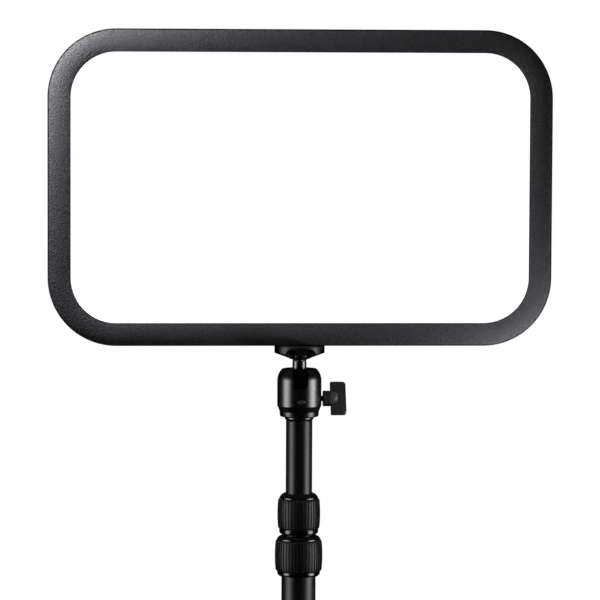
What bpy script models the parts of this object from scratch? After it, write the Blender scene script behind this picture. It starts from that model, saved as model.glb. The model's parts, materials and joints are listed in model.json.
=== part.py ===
"""LED panel light on a three-section pole with a desk clamp.

World frame: metres, +Z up, the panel shines towards -Y, the pole stands on the line X = 0, Y = 0, and
Z = 0 is the underside of the upper jaw's pad, which lies on the desk.
"""

from math import cos, pi, radians, sin, sqrt

import bmesh
import bpy

MM = 0.001

# Driving dimensions of the panel, in metres.
PANEL_WIDTH = 380.0 * MM
PANEL_HEIGHT = 238.0 * MM
PANEL_CORNER = 51.5 * MM
PANEL_BOTTOM = 475.6 * MM
PANEL_FRONT = -11.0 * MM
PANEL_BACK = 11.0 * MM
BEZEL_BORDER = 17.3 * MM
BEZEL_LIP = 2.0 * MM
SIDE_WALL = 2.2 * MM
COVER_THICKNESS = 2.4 * MM
SHEET_OVERLAP = 4.0 * MM
GAP = 0.3 * MM

# The layers behind the window: front and back Y of each.
DIFFUSER_Y = (-8.7 * MM, -6.7 * MM)
GUIDE_Y = (-6.4 * MM, -3.4 * MM)
REFLECTOR_Y = (-3.1 * MM, -2.6 * MM)
BACK_PLATE_Y = (-2.3 * MM, -0.8 * MM)

# The control housing on the panel's back.
REAR_WIDTH = 140.0 * MM
REAR_HEIGHT = 90.0 * MM
REAR_BOTTOM = PANEL_BOTTOM + 60.0 * MM
REAR_CORNER = 12.0 * MM
REAR_BACK = 25.0 * MM
REAR_WALL = 2.0 * MM
DIAL_X = 42.0 * MM
DIAL_Z = REAR_BOTTOM + 42.0 * MM
DIAL_RADIUS = 12.0 * MM
BUTTON_Z = REAR_BOTTOM + 20.0 * MM
BUTTON_RADIUS = 5.8 * MM
WINDOW_Z = REAR_BOTTOM + 52.0 * MM
WINDOW_WIDTH = 40.0 * MM
WINDOW_HEIGHT = 18.0 * MM
JACK_X = -46.0 * MM
JACK_Y = 17.3 * MM
SCREW_X = 62.0 * MM
SCREW_DROP = 8.0 * MM

# Ball head and pole, measured down from a level just under the panel's lower edge.
HEAD_LEVEL = PANEL_BOTTOM - 1.1 * MM
BALL_DROP = 27.0 * MM
BALL_RADIUS = 10.5 * MM
STEM_RADIUS = 5.35 * MM
PLATFORM_RADIUS = 19.0 * MM
HOUSING_RADIUS = 16.75 * MM
HOUSING_BORE = 10.9 * MM
NOTCH_HALF_WIDTH = 5.7 * MM
KNOB_DROP = 39.65 * MM
KNOB_HALF_HEIGHT = 13.4 * MM
BLADE_THICKNESS = 4.8 * MM
KNOB_LEAN = -33.0
SET_SCREW_X = 1.2 * MM
SET_SCREW_DROP = 41.0 * MM
STUD_RADIUS = 3.05 * MM

# Pole.
UPPER_TUBE_RADIUS = 10.0 * MM
MIDDLE_TUBE_RADIUS = 11.5 * MM
LOWER_TUBE_RADIUS = 13.0 * MM
TUBE_WALL = 1.2 * MM
UPPER_TUBE_LENGTH = 325.0 * MM
MIDDLE_TUBE_BOTTOM = 24.0 * MM
LOWER_TUBE_BOTTOM = 18.3 * MM

# Desk clamp.
JAW_BOTTOM = 2.0 * MM
JAW_TOP = 10.0 * MM
JAW_FRONT = -52.0 * MM
SPINE_FRONT = 13.0 * MM
SPINE_BACK = 23.0 * MM
ARM_TOP = -72.0 * MM
ARM_BOTTOM = -84.0 * MM
ARM_FRONT = -36.0 * MM
CLAMP_HALF_WIDTH = 25.0 * MM
SPINDLE_Y = -18.0 * MM
SPINDLE_RADIUS = 5.9 * MM
PLATE_RADIUS = 22.0 * MM
DESK_GAP = 30.0 * MM

ROUND_STEPS = 28
SMALL_STEPS = 16


def clear_scene():
    """Take out whatever the file starts with."""
    for thing in list(bpy.data.objects):
        bpy.data.objects.remove(thing, do_unlink=True)


def new_collection(name):
    """Make a collection under the scene's own."""
    group = bpy.data.collections.new(name)
    bpy.context.scene.collection.children.link(group)
    return group


def paint(thing, colour, metallic, roughness):
    """Give an object its own Principled material."""
    finish = bpy.data.materials.new(thing.name)
    finish.use_nodes = True
    shader = finish.node_tree.nodes["Principled BSDF"]
    shader.inputs["Base Color"].default_value = (*colour, 1.0)
    shader.inputs["Metallic"].default_value = metallic
    shader.inputs["Roughness"].default_value = roughness
    thing.data.materials.append(finish)


def smooth(thing, angle=35.0):
    """Shade smooth, but keep the real edges sharp."""
    for face in thing.data.polygons:
        face.use_smooth = True
    thing.data.set_sharp_from_angle(angle=radians(angle))


def place(name, mesh, look, at=(0.0, 0.0, 0.0), turn=(0.0, 0.0, 0.0)):
    """Put a mesh into the light's collection, or into the cutters' when it has no look."""
    thing = bpy.data.objects.new(name, mesh)
    thing.location = at
    thing.rotation_euler = turn
    if look is None:
        cutters.objects.link(thing)
        thing.hide_render = True
        thing.display_type = "WIRE"
        return thing
    light.objects.link(thing)
    paint(thing, *look)
    smooth(thing)
    return thing


def arc(centre_r, centre_z, radius, start, end, count):
    """Points of an arc in the profile plane, angles in degrees from the +r direction."""
    points = []
    for step in range(count + 1):
        angle = radians(start + (end - start) * step / count)
        points.append((centre_r + radius * cos(angle), centre_z + radius * sin(angle)))
    return points


def turned(name, profile, look, at=(0.0, 0.0, 0.0), turn=(0.0, 0.0, 0.0), steps=ROUND_STEPS):
    """Turn a profile of (radius, height) about its own Z axis with a Screw modifier.

    The profile runs down the outer side. It is a closed loop unless it starts and ends on the axis.
    """
    mesh = bpy.data.meshes.new(name)
    corners = [(radius, 0.0, height) for radius, height in profile]
    edges = [(index, index + 1) for index in range(len(corners) - 1)]
    if profile[0][0] > 0.0:
        edges.append((len(corners) - 1, 0))
    mesh.from_pydata(corners, edges, [])
    thing = place(name, mesh, look, at, turn)
    screw = thing.modifiers.new("Turn", "SCREW")
    screw.axis = "Z"
    screw.steps = steps
    screw.render_steps = steps
    screw.use_merge_vertices = True
    screw.merge_threshold = 0.00001
    screw.use_smooth_shade = True
    return thing


def rounded_rectangle(width, height, radius, corner_steps=7, centre=(0.0, 0.0)):
    """Outline of a rectangle with round corners, anticlockwise."""
    points = []
    for quarter, (side_x, side_y) in enumerate(((1, 1), (-1, 1), (-1, -1), (1, -1))):
        middle_x = centre[0] + side_x * (width / 2 - radius)
        middle_y = centre[1] + side_y * (height / 2 - radius)
        for step in range(corner_steps + 1):
            angle = (quarter + step / corner_steps) * pi / 2
            points.append((middle_x + radius * cos(angle), middle_y + radius * sin(angle)))
    return points


def circle(radius, centre=(0.0, 0.0), steps=SMALL_STEPS):
    """Outline of a circle, anticlockwise."""
    return [
        (centre[0] + radius * cos(2 * pi * step / steps), centre[1] + radius * sin(2 * pi * step / steps))
        for step in range(steps)
    ]


def prism(name, outline, depth, look, at=(0.0, 0.0, 0.0), turn=(0.0, 0.0, 0.0), holes=()):
    """Extrude an outline, less its holes, along its own +Z."""
    shape = bmesh.new()
    edges = []
    for loop in (outline, *holes):
        corners = [shape.verts.new((x, y, 0.0)) for x, y in loop]
        for index, corner in enumerate(corners):
            edges.append(shape.edges.new((corner, corners[(index + 1) % len(corners)])))
    if holes:
        bmesh.ops.triangle_fill(shape, use_beauty=True, edges=edges, normal=(0.0, 0.0, 1.0))
    else:
        shape.faces.new(shape.verts)
    grown = bmesh.ops.extrude_face_region(shape, geom=list(shape.faces))
    top = [item for item in grown["geom"] if isinstance(item, bmesh.types.BMVert)]
    bmesh.ops.translate(shape, verts=top, vec=(0.0, 0.0, depth))
    bmesh.ops.recalc_face_normals(shape, faces=list(shape.faces))
    mesh = bpy.data.meshes.new(name)
    shape.to_mesh(mesh)
    shape.free()
    return place(name, mesh, look, at, turn)


FACING_FRONT = (pi / 2, 0.0, 0.0)


def sheet(name, outline, span, look, centre_z, holes=()):
    """A flat piece that lies parallel to the panel, between two Y values."""
    return prism(name, outline, span[1] - span[0], look, (0.0, span[1], centre_z), FACING_FRONT, holes)


def box(name, size, centre, look):
    """A plain block."""
    outline = rounded_rectangle(size[0], size[1], min(size[0], size[1]) * 0.05, 1)
    return prism(name, outline, size[2], look, (centre[0], centre[1], centre[2] - size[2] / 2))


def skin(name, loops, closed, look, at=(0.0, 0.0, 0.0)):
    """Join loops of equal length into one surface, as a ring or with both ends capped."""
    shape = bmesh.new()
    rows = [[shape.verts.new(point) for point in loop] for loop in loops]
    last = len(rows) if closed else len(rows) - 1
    for index in range(last):
        row = rows[index]
        other = rows[(index + 1) % len(rows)]
        for step in range(len(row)):
            after = (step + 1) % len(row)
            shape.faces.new((row[step], row[after], other[after], other[step]))
    if not closed:
        shape.faces.new(rows[0])
        shape.faces.new(rows[-1])
    bmesh.ops.recalc_face_normals(shape, faces=list(shape.faces))
    mesh = bpy.data.meshes.new(name)
    shape.to_mesh(mesh)
    shape.free()
    return place(name, mesh, look, at)


def panel_loop(width, height, radius, inset, y, corner_steps=7):
    """A rounded rectangle parallel to the panel, pulled in by an inset."""
    outline = rounded_rectangle(width - 2 * inset, height - 2 * inset, radius - inset, corner_steps)
    return [(x, y, z) for x, z in outline]


def boolean(thing, tool, operation="DIFFERENCE"):
    """Cut a tool out of an object, or join it on."""
    cut = thing.modifiers.new(tool.name, "BOOLEAN")
    cut.operation = operation
    cut.solver = "EXACT"
    cut.object = tool


def tube_along(name, path, radius, look):
    """A round wire along a path of points."""
    curve = bpy.data.curves.new(name, "CURVE")
    curve.dimensions = "3D"
    curve.bevel_depth = radius
    curve.bevel_resolution = 2
    curve.use_fill_caps = True
    spline = curve.splines.new("POLY")
    spline.points.add(len(path) - 1)
    for point, where in zip(spline.points, path):
        point.co = (*where, 1.0)
    thing = bpy.data.objects.new(name, curve)
    light.objects.link(thing)
    paint(thing, *look)
    return thing


BLACK_COAT = ((0.02, 0.02, 0.022), 0.0, 0.5)
BLACK_GLOSS = ((0.012, 0.012, 0.013), 0.0, 0.12)
BLACK_RUBBER = ((0.02, 0.02, 0.02), 0.0, 0.8)
OPAL = ((0.95, 0.95, 0.97), 0.0, 0.4)
CLEAR = ((0.9, 0.93, 0.95), 0.0, 0.08)
BOARD = ((0.02, 0.12, 0.05), 0.0, 0.5)
BARE_METAL = ((0.7, 0.71, 0.73), 1.0, 0.35)
DARK_METAL = ((0.12, 0.12, 0.125), 1.0, 0.35)
WHITE_PLASTIC = ((0.85, 0.85, 0.83), 0.0, 0.5)
BRASS = ((0.75, 0.58, 0.3), 1.0, 0.3)

PANEL_MIDDLE = PANEL_BOTTOM + PANEL_HEIGHT / 2
REAR_MIDDLE = REAR_BOTTOM + REAR_HEIGHT / 2


def make_bezel():
    """Front frame: a lip round the window and the panel's side walls in one piece."""
    front = PANEL_FRONT
    section = [
        (BEZEL_BORDER, front + BEZEL_LIP),
        (BEZEL_BORDER, front + 0.6 * MM),
        (BEZEL_BORDER - 0.6 * MM, front),
        (1.6 * MM, front),
        (0.5 * MM, front + 0.5 * MM),
        (0.0, front + 1.6 * MM),
        (0.0, PANEL_BACK - COVER_THICKNESS - GAP),
        (SIDE_WALL, PANEL_BACK - COVER_THICKNESS - GAP),
        (SIDE_WALL, front + BEZEL_LIP),
    ]
    loops = [panel_loop(PANEL_WIDTH, PANEL_HEIGHT, PANEL_CORNER, inset, y) for inset, y in section]
    bezel = skin("front_bezel", loops, True, BLACK_COAT, (0.0, 0.0, PANEL_MIDDLE))
    hole = turned(
        "cut_socket",
        [(0.0, 6.0 * MM), (6.3 * MM, 6.0 * MM), (6.3 * MM, -6.0 * MM), (0.0, -6.0 * MM)],
        None,
        (0.0, 0.0, PANEL_BOTTOM),
        steps=24,
    )
    boolean(bezel, hole)


def make_light_stack():
    """The diffuser, the light guide, the reflector and the plate behind them."""
    width = PANEL_WIDTH - 2 * (BEZEL_BORDER - SHEET_OVERLAP)
    height = PANEL_HEIGHT - 2 * (BEZEL_BORDER - SHEET_OVERLAP)
    corner = PANEL_CORNER - BEZEL_BORDER + SHEET_OVERLAP
    outline = rounded_rectangle(width, height, corner)
    sheet("diffuser_sheet", outline, DIFFUSER_Y, OPAL, PANEL_MIDDLE)
    sheet("light_guide", outline, GUIDE_Y, CLEAR, PANEL_MIDDLE)
    sheet("reflector_sheet", outline, REFLECTOR_Y, WHITE_PLASTIC, PANEL_MIDDLE)
    plate = rounded_rectangle(width + 7.0 * MM, height, corner)
    sheet("back_plate", plate, BACK_PLATE_Y, BARE_METAL, PANEL_MIDDLE)


def make_led_strip(name, side):
    """A strip board with its row of LEDs, standing along one side edge of the light guide."""
    inner = PANEL_WIDTH / 2 - BEZEL_BORDER + SHEET_OVERLAP + 0.4 * MM
    base = inner + 1.0 * MM
    outer = base + 1.6 * MM
    half = 62.0 * MM
    count = 14
    pitch = 2 * half / count
    outline = [(side * outer, half), (side * outer, -half)]
    for index in range(count):
        low = -half + index * pitch
        outline.append((side * base, low + 0.02 * pitch))
        outline.append((side * base, low + 0.3 * pitch))
        outline.append((side * inner, low + 0.3 * pitch))
        outline.append((side * inner, low + 0.7 * pitch))
        outline.append((side * base, low + 0.7 * pitch))
    outline.append((side * base, half))
    sheet(name, outline, (-6.6 * MM, -3.2 * MM), WHITE_PLASTIC, PANEL_MIDDLE)


def make_back_cover():
    """Rear plate of the panel with its edge rounded over, and the holes it needs."""
    front = PANEL_BACK - COVER_THICKNESS
    section = [
        (0.0, front),
        (0.0, PANEL_BACK - 1.2 * MM),
        (0.4 * MM, PANEL_BACK - 0.4 * MM),
        (1.4 * MM, PANEL_BACK),
    ]
    loops = [panel_loop(PANEL_WIDTH, PANEL_HEIGHT, PANEL_CORNER, inset, y) for inset, y in section]
    cover = skin("back_cover", loops, False, BLACK_COAT, (0.0, 0.0, PANEL_MIDDLE))
    lead_hole = rounded_rectangle(50.0 * MM, 26.0 * MM, 4.0 * MM, 2)
    boolean(cover, prism("cut_lead", lead_hole, 8.0 * MM, None, (0.0, 14.0 * MM, REAR_MIDDLE), FACING_FRONT))
    for index, (x, z) in enumerate(cover_screw_spots()):
        boolean(cover, screw_cutter(f"cut_cover_{index}", 1.8 * MM, (x, 14.0 * MM, z), 8.0 * MM))


def cover_screw_spots():
    """Where the four screws of the control housing stand, as (x, z)."""
    low = REAR_BOTTOM + SCREW_DROP
    high = REAR_BOTTOM + REAR_HEIGHT - SCREW_DROP
    return ((-SCREW_X, low), (SCREW_X, low), (-SCREW_X, high), (SCREW_X, high))


def screw_cutter(name, radius, at, depth):
    """A round cutter that runs from a point towards -Y."""
    return prism(name, circle(radius, steps=12), depth, None, at, FACING_FRONT)


def make_rear_housing():
    """Hollow control housing on the panel's back, open towards the panel."""
    front = PANEL_BACK + GAP
    section = [
        (REAR_WALL, REAR_BACK - REAR_WALL),
        (REAR_WALL, front),
        (0.0, front),
        (0.3 * MM, REAR_BACK - 4.0 * MM),
        (1.4 * MM, REAR_BACK - 1.3 * MM),
        (4.0 * MM, REAR_BACK),
    ]
    loops = [panel_loop(REAR_WIDTH, REAR_HEIGHT, REAR_CORNER, inset, y, 4) for inset, y in section]
    housing = skin("rear_housing", loops, False, BLACK_COAT, (0.0, 0.0, REAR_MIDDLE))
    back = REAR_BACK + 2.0 * MM
    for side, name in ((-1, "left"), (1, "right")):
        at = (side * DIAL_X, back, DIAL_Z)
        boolean(housing, screw_cutter(f"cut_dial_{name}", 3.5 * MM, at, 8.0 * MM))
    at = (0.0, back, BUTTON_Z)
    boolean(housing, prism("cut_button", circle(6.1 * MM), 8.0 * MM, None, at, FACING_FRONT))
    pane = rounded_rectangle(WINDOW_WIDTH + 0.6 * MM, WINDOW_HEIGHT + 0.6 * MM, 2.3 * MM, 2)
    boolean(housing, prism("cut_window", pane, 8.0 * MM, None, (0.0, back, WINDOW_Z), FACING_FRONT))
    for index, (x, z) in enumerate(cover_screw_spots()):
        boolean(housing, screw_cutter(f"cut_screw_{index}", 1.8 * MM, (x, back, z), 8.0 * MM))
    jack = rounded_rectangle(9.6 * MM, 9.6 * MM, 0.6 * MM, 1)
    boolean(housing, prism("cut_jack", jack, 6.0 * MM, None, (JACK_X, JACK_Y, REAR_BOTTOM - 3.0 * MM)))
    for index in range(9):
        slot = rounded_rectangle(3.0 * MM, 13.0 * MM, 1.45 * MM, 2)
        at = ((index - 4) * 9.0 * MM, back, REAR_BOTTOM + REAR_HEIGHT - 13.5 * MM)
        boolean(housing, prism(f"cut_vent_{index}", slot, 8.0 * MM, None, at, FACING_FRONT))


def make_cover_screws():
    """The four screws that hold the control housing."""
    profile = [
        (0.0, 1.5 * MM),
        (2.2 * MM, 1.5 * MM),
        (2.7 * MM, 0.9 * MM),
        (2.7 * MM, 0.0),
        (1.45 * MM, 0.0),
        (1.45 * MM, -15.5 * MM),
        (0.0, -15.5 * MM),
    ]
    for index, (x, z) in enumerate(cover_screw_spots()):
        at = (x, REAR_BACK + 0.1 * MM, z)
        turned(f"cover_screw_{index + 1}", profile, DARK_METAL, at, (-pi / 2, 0.0, 0.0), 12)


def make_mount_block():
    """Metal block in the panel's lower edge, with the threaded socket for the stud."""
    outline = rounded_rectangle(48.0 * MM, 15.4 * MM, 1.0 * MM, 2)
    bore = circle(6.3 * MM, steps=24)
    at = (0.0, 0.0, PANEL_BOTTOM + SIDE_WALL + GAP)
    prism("mount_block", outline, 9.0 * MM, BARE_METAL, at, holes=(bore,))
    socket = [
        (5.4 * MM, 11.4 * MM),
        (6.0 * MM, 10.8 * MM),
        (6.0 * MM, 0.0),
        (3.9 * MM, 0.0),
        (3.3 * MM, 0.6 * MM),
        (3.3 * MM, 11.4 * MM),
    ]
    turned("tripod_socket", socket, BRASS, (0.0, 0.0, PANEL_BOTTOM), steps=24)


def make_electronics():
    """Driver board with its heat sink, control board, display, encoders, switch and inlet."""
    board = rounded_rectangle(120.0 * MM, 84.0 * MM, 3.0 * MM, 2)
    sheet("driver_board", board, (1.5 * MM, 3.1 * MM), BOARD, REAR_MIDDLE)
    fins = []
    for index in range(10):
        left = -27.0 * MM + index * 5.6 * MM
        fins.append((left, 1.4 * MM))
        fins.append((left, 4.6 * MM))
        fins.append((left + 1.8 * MM, 4.6 * MM))
        fins.append((left + 1.8 * MM, 1.4 * MM))
    fins.append((27.0 * MM, 0.0))
    fins.append((-28.0 * MM, 0.0))
    prism("heat_sink", fins[::-1], 26.0 * MM, BARE_METAL, (0.0, 3.4 * MM, REAR_BOTTOM + 56.0 * MM))
    board = rounded_rectangle(112.0 * MM, 50.0 * MM, 2.0 * MM, 2)
    sheet("control_board", board, (17.6 * MM, 18.8 * MM), BOARD, REAR_BOTTOM + 43.0 * MM)
    pane = rounded_rectangle(WINDOW_WIDTH, WINDOW_HEIGHT, 2.0 * MM, 2)
    sheet("display_window", pane, (REAR_BACK - 1.8 * MM, REAR_BACK - 0.2 * MM), CLEAR, WINDOW_Z)
    glass = rounded_rectangle(WINDOW_WIDTH - 2.0 * MM, WINDOW_HEIGHT - 2.0 * MM, 1.0 * MM, 1)
    sheet("display_module", glass, (19.1 * MM, 22.6 * MM), DARK_METAL, WINDOW_Z)
    ring = [(6.5 * MM, 1.8 * MM), (6.5 * MM, -1.8 * MM), (3.1 * MM, -1.8 * MM), (3.1 * MM, 1.8 * MM)]
    for name, side in (("brightness_encoder", -1), ("temperature_encoder", 1)):
        turned(name, ring, DARK_METAL, (side * DIAL_X, 20.9 * MM, DIAL_Z), (-pi / 2, 0.0, 0.0), 16)
    box("power_switch", (6.0 * MM, 1.2 * MM, 6.0 * MM), (0.0, 19.7 * MM, BUTTON_Z), DARK_METAL)


def make_dc_jack():
    """Power inlet: a block with a round socket that opens downwards, and its centre pin."""
    outline = rounded_rectangle(9.0 * MM, 9.0 * MM, 0.8 * MM, 1)
    at = (JACK_X, JACK_Y, REAR_BOTTOM - 0.2 * MM)
    jack = prism("dc_jack", outline, 13.0 * MM, BLACK_RUBBER, at)
    socket = [
        (0.0, 2.5 * MM),
        (1.05 * MM, 2.5 * MM),
        (1.05 * MM, 9.5 * MM),
        (3.1 * MM, 9.5 * MM),
        (3.1 * MM, -1.0 * MM),
        (0.0, -1.0 * MM),
    ]
    boolean(jack, turned("cut_barrel", socket, None, at, steps=16))


def make_led_harness():
    """The lead that feeds both LED strips from the driver board."""
    level = REAR_BOTTOM + 12.0 * MM
    path = [
        (-165.0 * MM, 2.2 * MM, level),
        (-66.0 * MM, 2.2 * MM, level),
        (-60.0 * MM, 5.0 * MM, level),
        (60.0 * MM, 5.0 * MM, level),
        (66.0 * MM, 2.2 * MM, level),
        (165.0 * MM, 2.2 * MM, level),
    ]
    tube_along("led_harness", path, 1.2 * MM, BLACK_RUBBER)


def make_controls():
    """The two dials and the power button."""
    dial = [
        (0.0, 6.8 * MM),
        (DIAL_RADIUS - 1.4 * MM, 6.8 * MM),
        (DIAL_RADIUS - 0.4 * MM, 6.2 * MM),
        (DIAL_RADIUS, 5.2 * MM),
        (DIAL_RADIUS, 0.4 * MM),
        (2.8 * MM, 0.4 * MM),
        (2.8 * MM, -5.5 * MM),
        (0.0, -5.5 * MM),
    ]
    for name, side in (("brightness_dial", -1), ("temperature_dial", 1)):
        turned(name, dial, BLACK_RUBBER, (side * DIAL_X, REAR_BACK, DIAL_Z), (-pi / 2, 0.0, 0.0), 24)
    button = [
        (0.0, 3.9 * MM),
        (BUTTON_RADIUS - 0.8 * MM, 3.9 * MM),
        (BUTTON_RADIUS, 3.2 * MM),
        (BUTTON_RADIUS, 0.8 * MM),
        (6.6 * MM, 0.8 * MM),
        (6.6 * MM, 0.0),
        (0.0, 0.0),
    ]
    turned("power_button", button, BLACK_GLOSS, (0.0, 21.9 * MM, BUTTON_Z), (-pi / 2, 0.0, 0.0), 20)


def make_platform():
    """Round platform under the panel, its rubber pad and the threaded stud."""
    profile = [
        (18.6 * MM, 0.6 * MM),
        (PLATFORM_RADIUS, 0.2 * MM),
        (PLATFORM_RADIUS, -4.6 * MM),
        (18.5 * MM, -5.1 * MM),
        (5.7 * MM, -10.3 * MM),
        (3.3 * MM, -10.3 * MM),
        (3.3 * MM, -0.4 * MM),
        (18.1 * MM, -0.4 * MM),
        (18.1 * MM, 0.6 * MM),
    ]
    platform = turned("platform", profile, BLACK_GLOSS, (0.0, 0.0, HEAD_LEVEL), steps=36)
    for index in range(8):
        angle = radians(22.5 + 45.0 * index)
        at = (20.0 * MM * cos(angle), 20.0 * MM * sin(angle), HEAD_LEVEL - 6.9 * MM)
        scoop = [
            (0.0, 8.6 * MM),
            (3.4 * MM, 6.2 * MM),
            (4.9 * MM, 0.0),
            (3.4 * MM, -6.2 * MM),
            (0.0, -8.6 * MM),
        ]
        tool = turned(f"cut_scoop_{index}", scoop, None, at, (0.0, pi / 2 + 0.15, angle), 10)
        boolean(platform, tool)
    pad = [(17.8 * MM, 0.9 * MM), (17.8 * MM, -0.1 * MM), (3.6 * MM, -0.1 * MM), (3.6 * MM, 0.9 * MM)]
    turned("platform_pad", pad, BLACK_RUBBER, (0.0, 0.0, HEAD_LEVEL), steps=24)
    stud = [
        (0.0, 10.7 * MM),
        (2.5 * MM, 10.7 * MM),
        (STUD_RADIUS, 9.9 * MM),
        (STUD_RADIUS, -16.4 * MM),
        (0.0, -16.4 * MM),
    ]
    turned("mount_stud", stud, BARE_METAL, (0.0, 0.0, HEAD_LEVEL), steps=16)


def make_ball():
    """Ball and stem in one turned piece, with the blind hole for the stud."""
    meet = sqrt(BALL_RADIUS**2 - STEM_RADIUS**2)
    top = BALL_DROP - 10.8 * MM
    start = 90.0 - 30.64
    profile = [
        (0.0, top - 6.2 * MM),
        (3.3 * MM, top - 6.2 * MM),
        (3.3 * MM, top),
        (STEM_RADIUS, top),
        (STEM_RADIUS, meet),
    ]
    profile += arc(0.0, 0.0, BALL_RADIUS, start, -80.0, 10)[1:]
    profile.append((0.0, -BALL_RADIUS * cos(radians(10.0))))
    turned("ball_stem", profile, BLACK_GLOSS, (0.0, 0.0, HEAD_LEVEL - BALL_DROP), steps=24)


def make_ball_housing():
    """Housing of the ball head with its open mouth, drop notch and two side holes."""
    profile = [
        (10.0 * MM, -16.8 * MM),
        (12.9 * MM, -17.1 * MM),
        (14.5 * MM, -18.3 * MM),
        (15.5 * MM, -20.2 * MM),
        (16.3 * MM, -23.0 * MM),
        (HOUSING_RADIUS, -26.6 * MM),
        (HOUSING_RADIUS, -45.1 * MM),
        (16.2 * MM, -45.9 * MM),
        (15.1 * MM, -48.8 * MM),
        (14.7 * MM, -52.2 * MM),
        (13.9 * MM, -53.2 * MM),
        (HOUSING_BORE, -53.2 * MM),
        (HOUSING_BORE, -27.0 * MM),
    ]
    profile += [(r, z - BALL_DROP) for r, z in arc(0.0, 0.0, 10.85 * MM, 0.0, 37.0, 4)[1:]]
    housing = turned("ball_housing", profile, BLACK_GLOSS, (0.0, 0.0, HEAD_LEVEL), steps=28)
    half = NOTCH_HALF_WIDTH
    notch = [(half, 16.0 * MM), (-half, 16.0 * MM)]
    notch += [(x, z) for x, z in arc(0.0, 0.0, half, -180.0, 0.0, 8)]
    centre = (0.0, 0.0, HEAD_LEVEL - BALL_DROP)
    boolean(housing, prism("cut_notch", notch, 24.0 * MM, None, centre, FACING_FRONT))
    at = (8.0 * MM, 0.0, HEAD_LEVEL - KNOB_DROP)
    boolean(housing, prism("cut_lock", circle(2.6 * MM), 14.0 * MM, None, at, (0.0, pi / 2, 0.0)))
    at = (SET_SCREW_X, -8.0 * MM, HEAD_LEVEL - SET_SCREW_DROP)
    boolean(housing, prism("cut_grub", circle(2.25 * MM), 14.0 * MM, None, at, FACING_FRONT))


def make_ball_lock():
    """What clamps the ball: the cup under it, the slug below and the plug that closes the housing."""
    cup = [
        (10.5 * MM, -33.7 * MM),
        (10.5 * MM, -37.25 * MM),
        (4.4 * MM, -37.25 * MM),
    ]
    cup += [(r, z - BALL_DROP) for r, z in arc(0.0, 0.0, 10.85 * MM, -66.0, -38.0, 4)]
    turned("ball_cup", cup, WHITE_PLASTIC, (0.0, 0.0, HEAD_LEVEL), steps=24)
    slug = [
        (0.0, -38.1 * MM),
        (5.9 * MM, -38.1 * MM),
        (6.1 * MM, -37.55 * MM),
        (10.5 * MM, -37.55 * MM),
        (10.5 * MM, -46.3 * MM),
        (0.0, -46.3 * MM),
    ]
    slug = turned("wedge_slug", slug, BRASS, (0.0, 0.0, HEAD_LEVEL), steps=24)
    at = (3.5 * MM, 0.0, HEAD_LEVEL - KNOB_DROP)
    boolean(slug, prism("cut_slug", circle(2.6 * MM), 12.0 * MM, None, at, (0.0, pi / 2, 0.0)))
    plug = [
        (0.0, -46.6 * MM),
        (10.5 * MM, -46.6 * MM),
        (10.5 * MM, -53.5 * MM),
        (11.0 * MM, -53.7 * MM),
        (11.0 * MM, -54.6 * MM),
        (10.1 * MM, -56.0 * MM),
        (8.5 * MM, -56.0 * MM),
        (8.5 * MM, -73.0 * MM),
        (0.0, -73.0 * MM),
    ]
    turned("base_plug", plug, DARK_METAL, (0.0, 0.0, HEAD_LEVEL), steps=24)
    grub = [
        (0.0, -2.0 * MM),
        (1.0 * MM, -2.0 * MM),
        (1.0 * MM, 0.0),
        (1.9 * MM, 0.0),
        (1.9 * MM, -4.4 * MM),
        (0.0, -4.4 * MM),
    ]
    at = (SET_SCREW_X, -16.1 * MM, HEAD_LEVEL - SET_SCREW_DROP)
    turned("set_screw", grub, BARE_METAL, at, (pi / 2, 0.0, 0.0), 12)


def make_lock_knob():
    """Wing knob on the ball head's side, with its screw."""
    at = (0.0, 0.0, HEAD_LEVEL - KNOB_DROP)
    along_x = (0.0, pi / 2, 0.0)
    boss = [
        (0.0, 29.6 * MM),
        (2.6 * MM, 29.0 * MM),
        (4.8 * MM, 27.2 * MM),
        (5.9 * MM, 24.2 * MM),
        (5.9 * MM, 18.3 * MM),
        (5.5 * MM, 17.9 * MM),
        (2.4 * MM, 17.9 * MM),
        (2.4 * MM, 23.4 * MM),
        (0.0, 23.4 * MM),
    ]
    knob = turned("lock_knob", boss, BLACK_COAT, at, along_x, 20)
    half = KNOB_HALF_HEIGHT
    outline = [
        (23.6 * MM, half - 0.3 * MM),
        (23.6 * MM, -half + 0.3 * MM),
        (23.9 * MM, -half),
    ]
    outline += arc(33.1 * MM, -half + 2.3 * MM, 2.3 * MM, -90.0, 0.0, 3)
    outline += arc(33.1 * MM, half - 2.3 * MM, 2.3 * MM, 0.0, 90.0, 3)
    outline.append((23.9 * MM, half))
    lean = radians(KNOB_LEAN)
    at_blade = (0.0, BLADE_THICKNESS / 2 * cos(lean), at[2] + BLADE_THICKNESS / 2 * sin(lean))
    blade = prism("cut_blade", outline, BLADE_THICKNESS, None, at_blade, (pi / 2 + lean, 0.0, 0.0))
    boolean(knob, blade, "UNION")
    screw = [
        (0.0, 23.1 * MM),
        (2.1 * MM, 23.1 * MM),
        (2.1 * MM, 7.0 * MM),
        (1.0 * MM, 4.4 * MM),
        (0.0, 4.4 * MM),
    ]
    turned("lock_screw", screw, BARE_METAL, at, along_x, 16)


def hollow_cylinder(name, outer, inner, top, bottom, look, steps=ROUND_STEPS):
    """A plain tube between two heights."""
    middle = (top + bottom) / 2
    half = (top - bottom) / 2
    profile = [(outer, half), (outer, -half), (inner, -half), (inner, half)]
    return turned(name, profile, look, (0.0, 0.0, middle), steps=steps)


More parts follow.
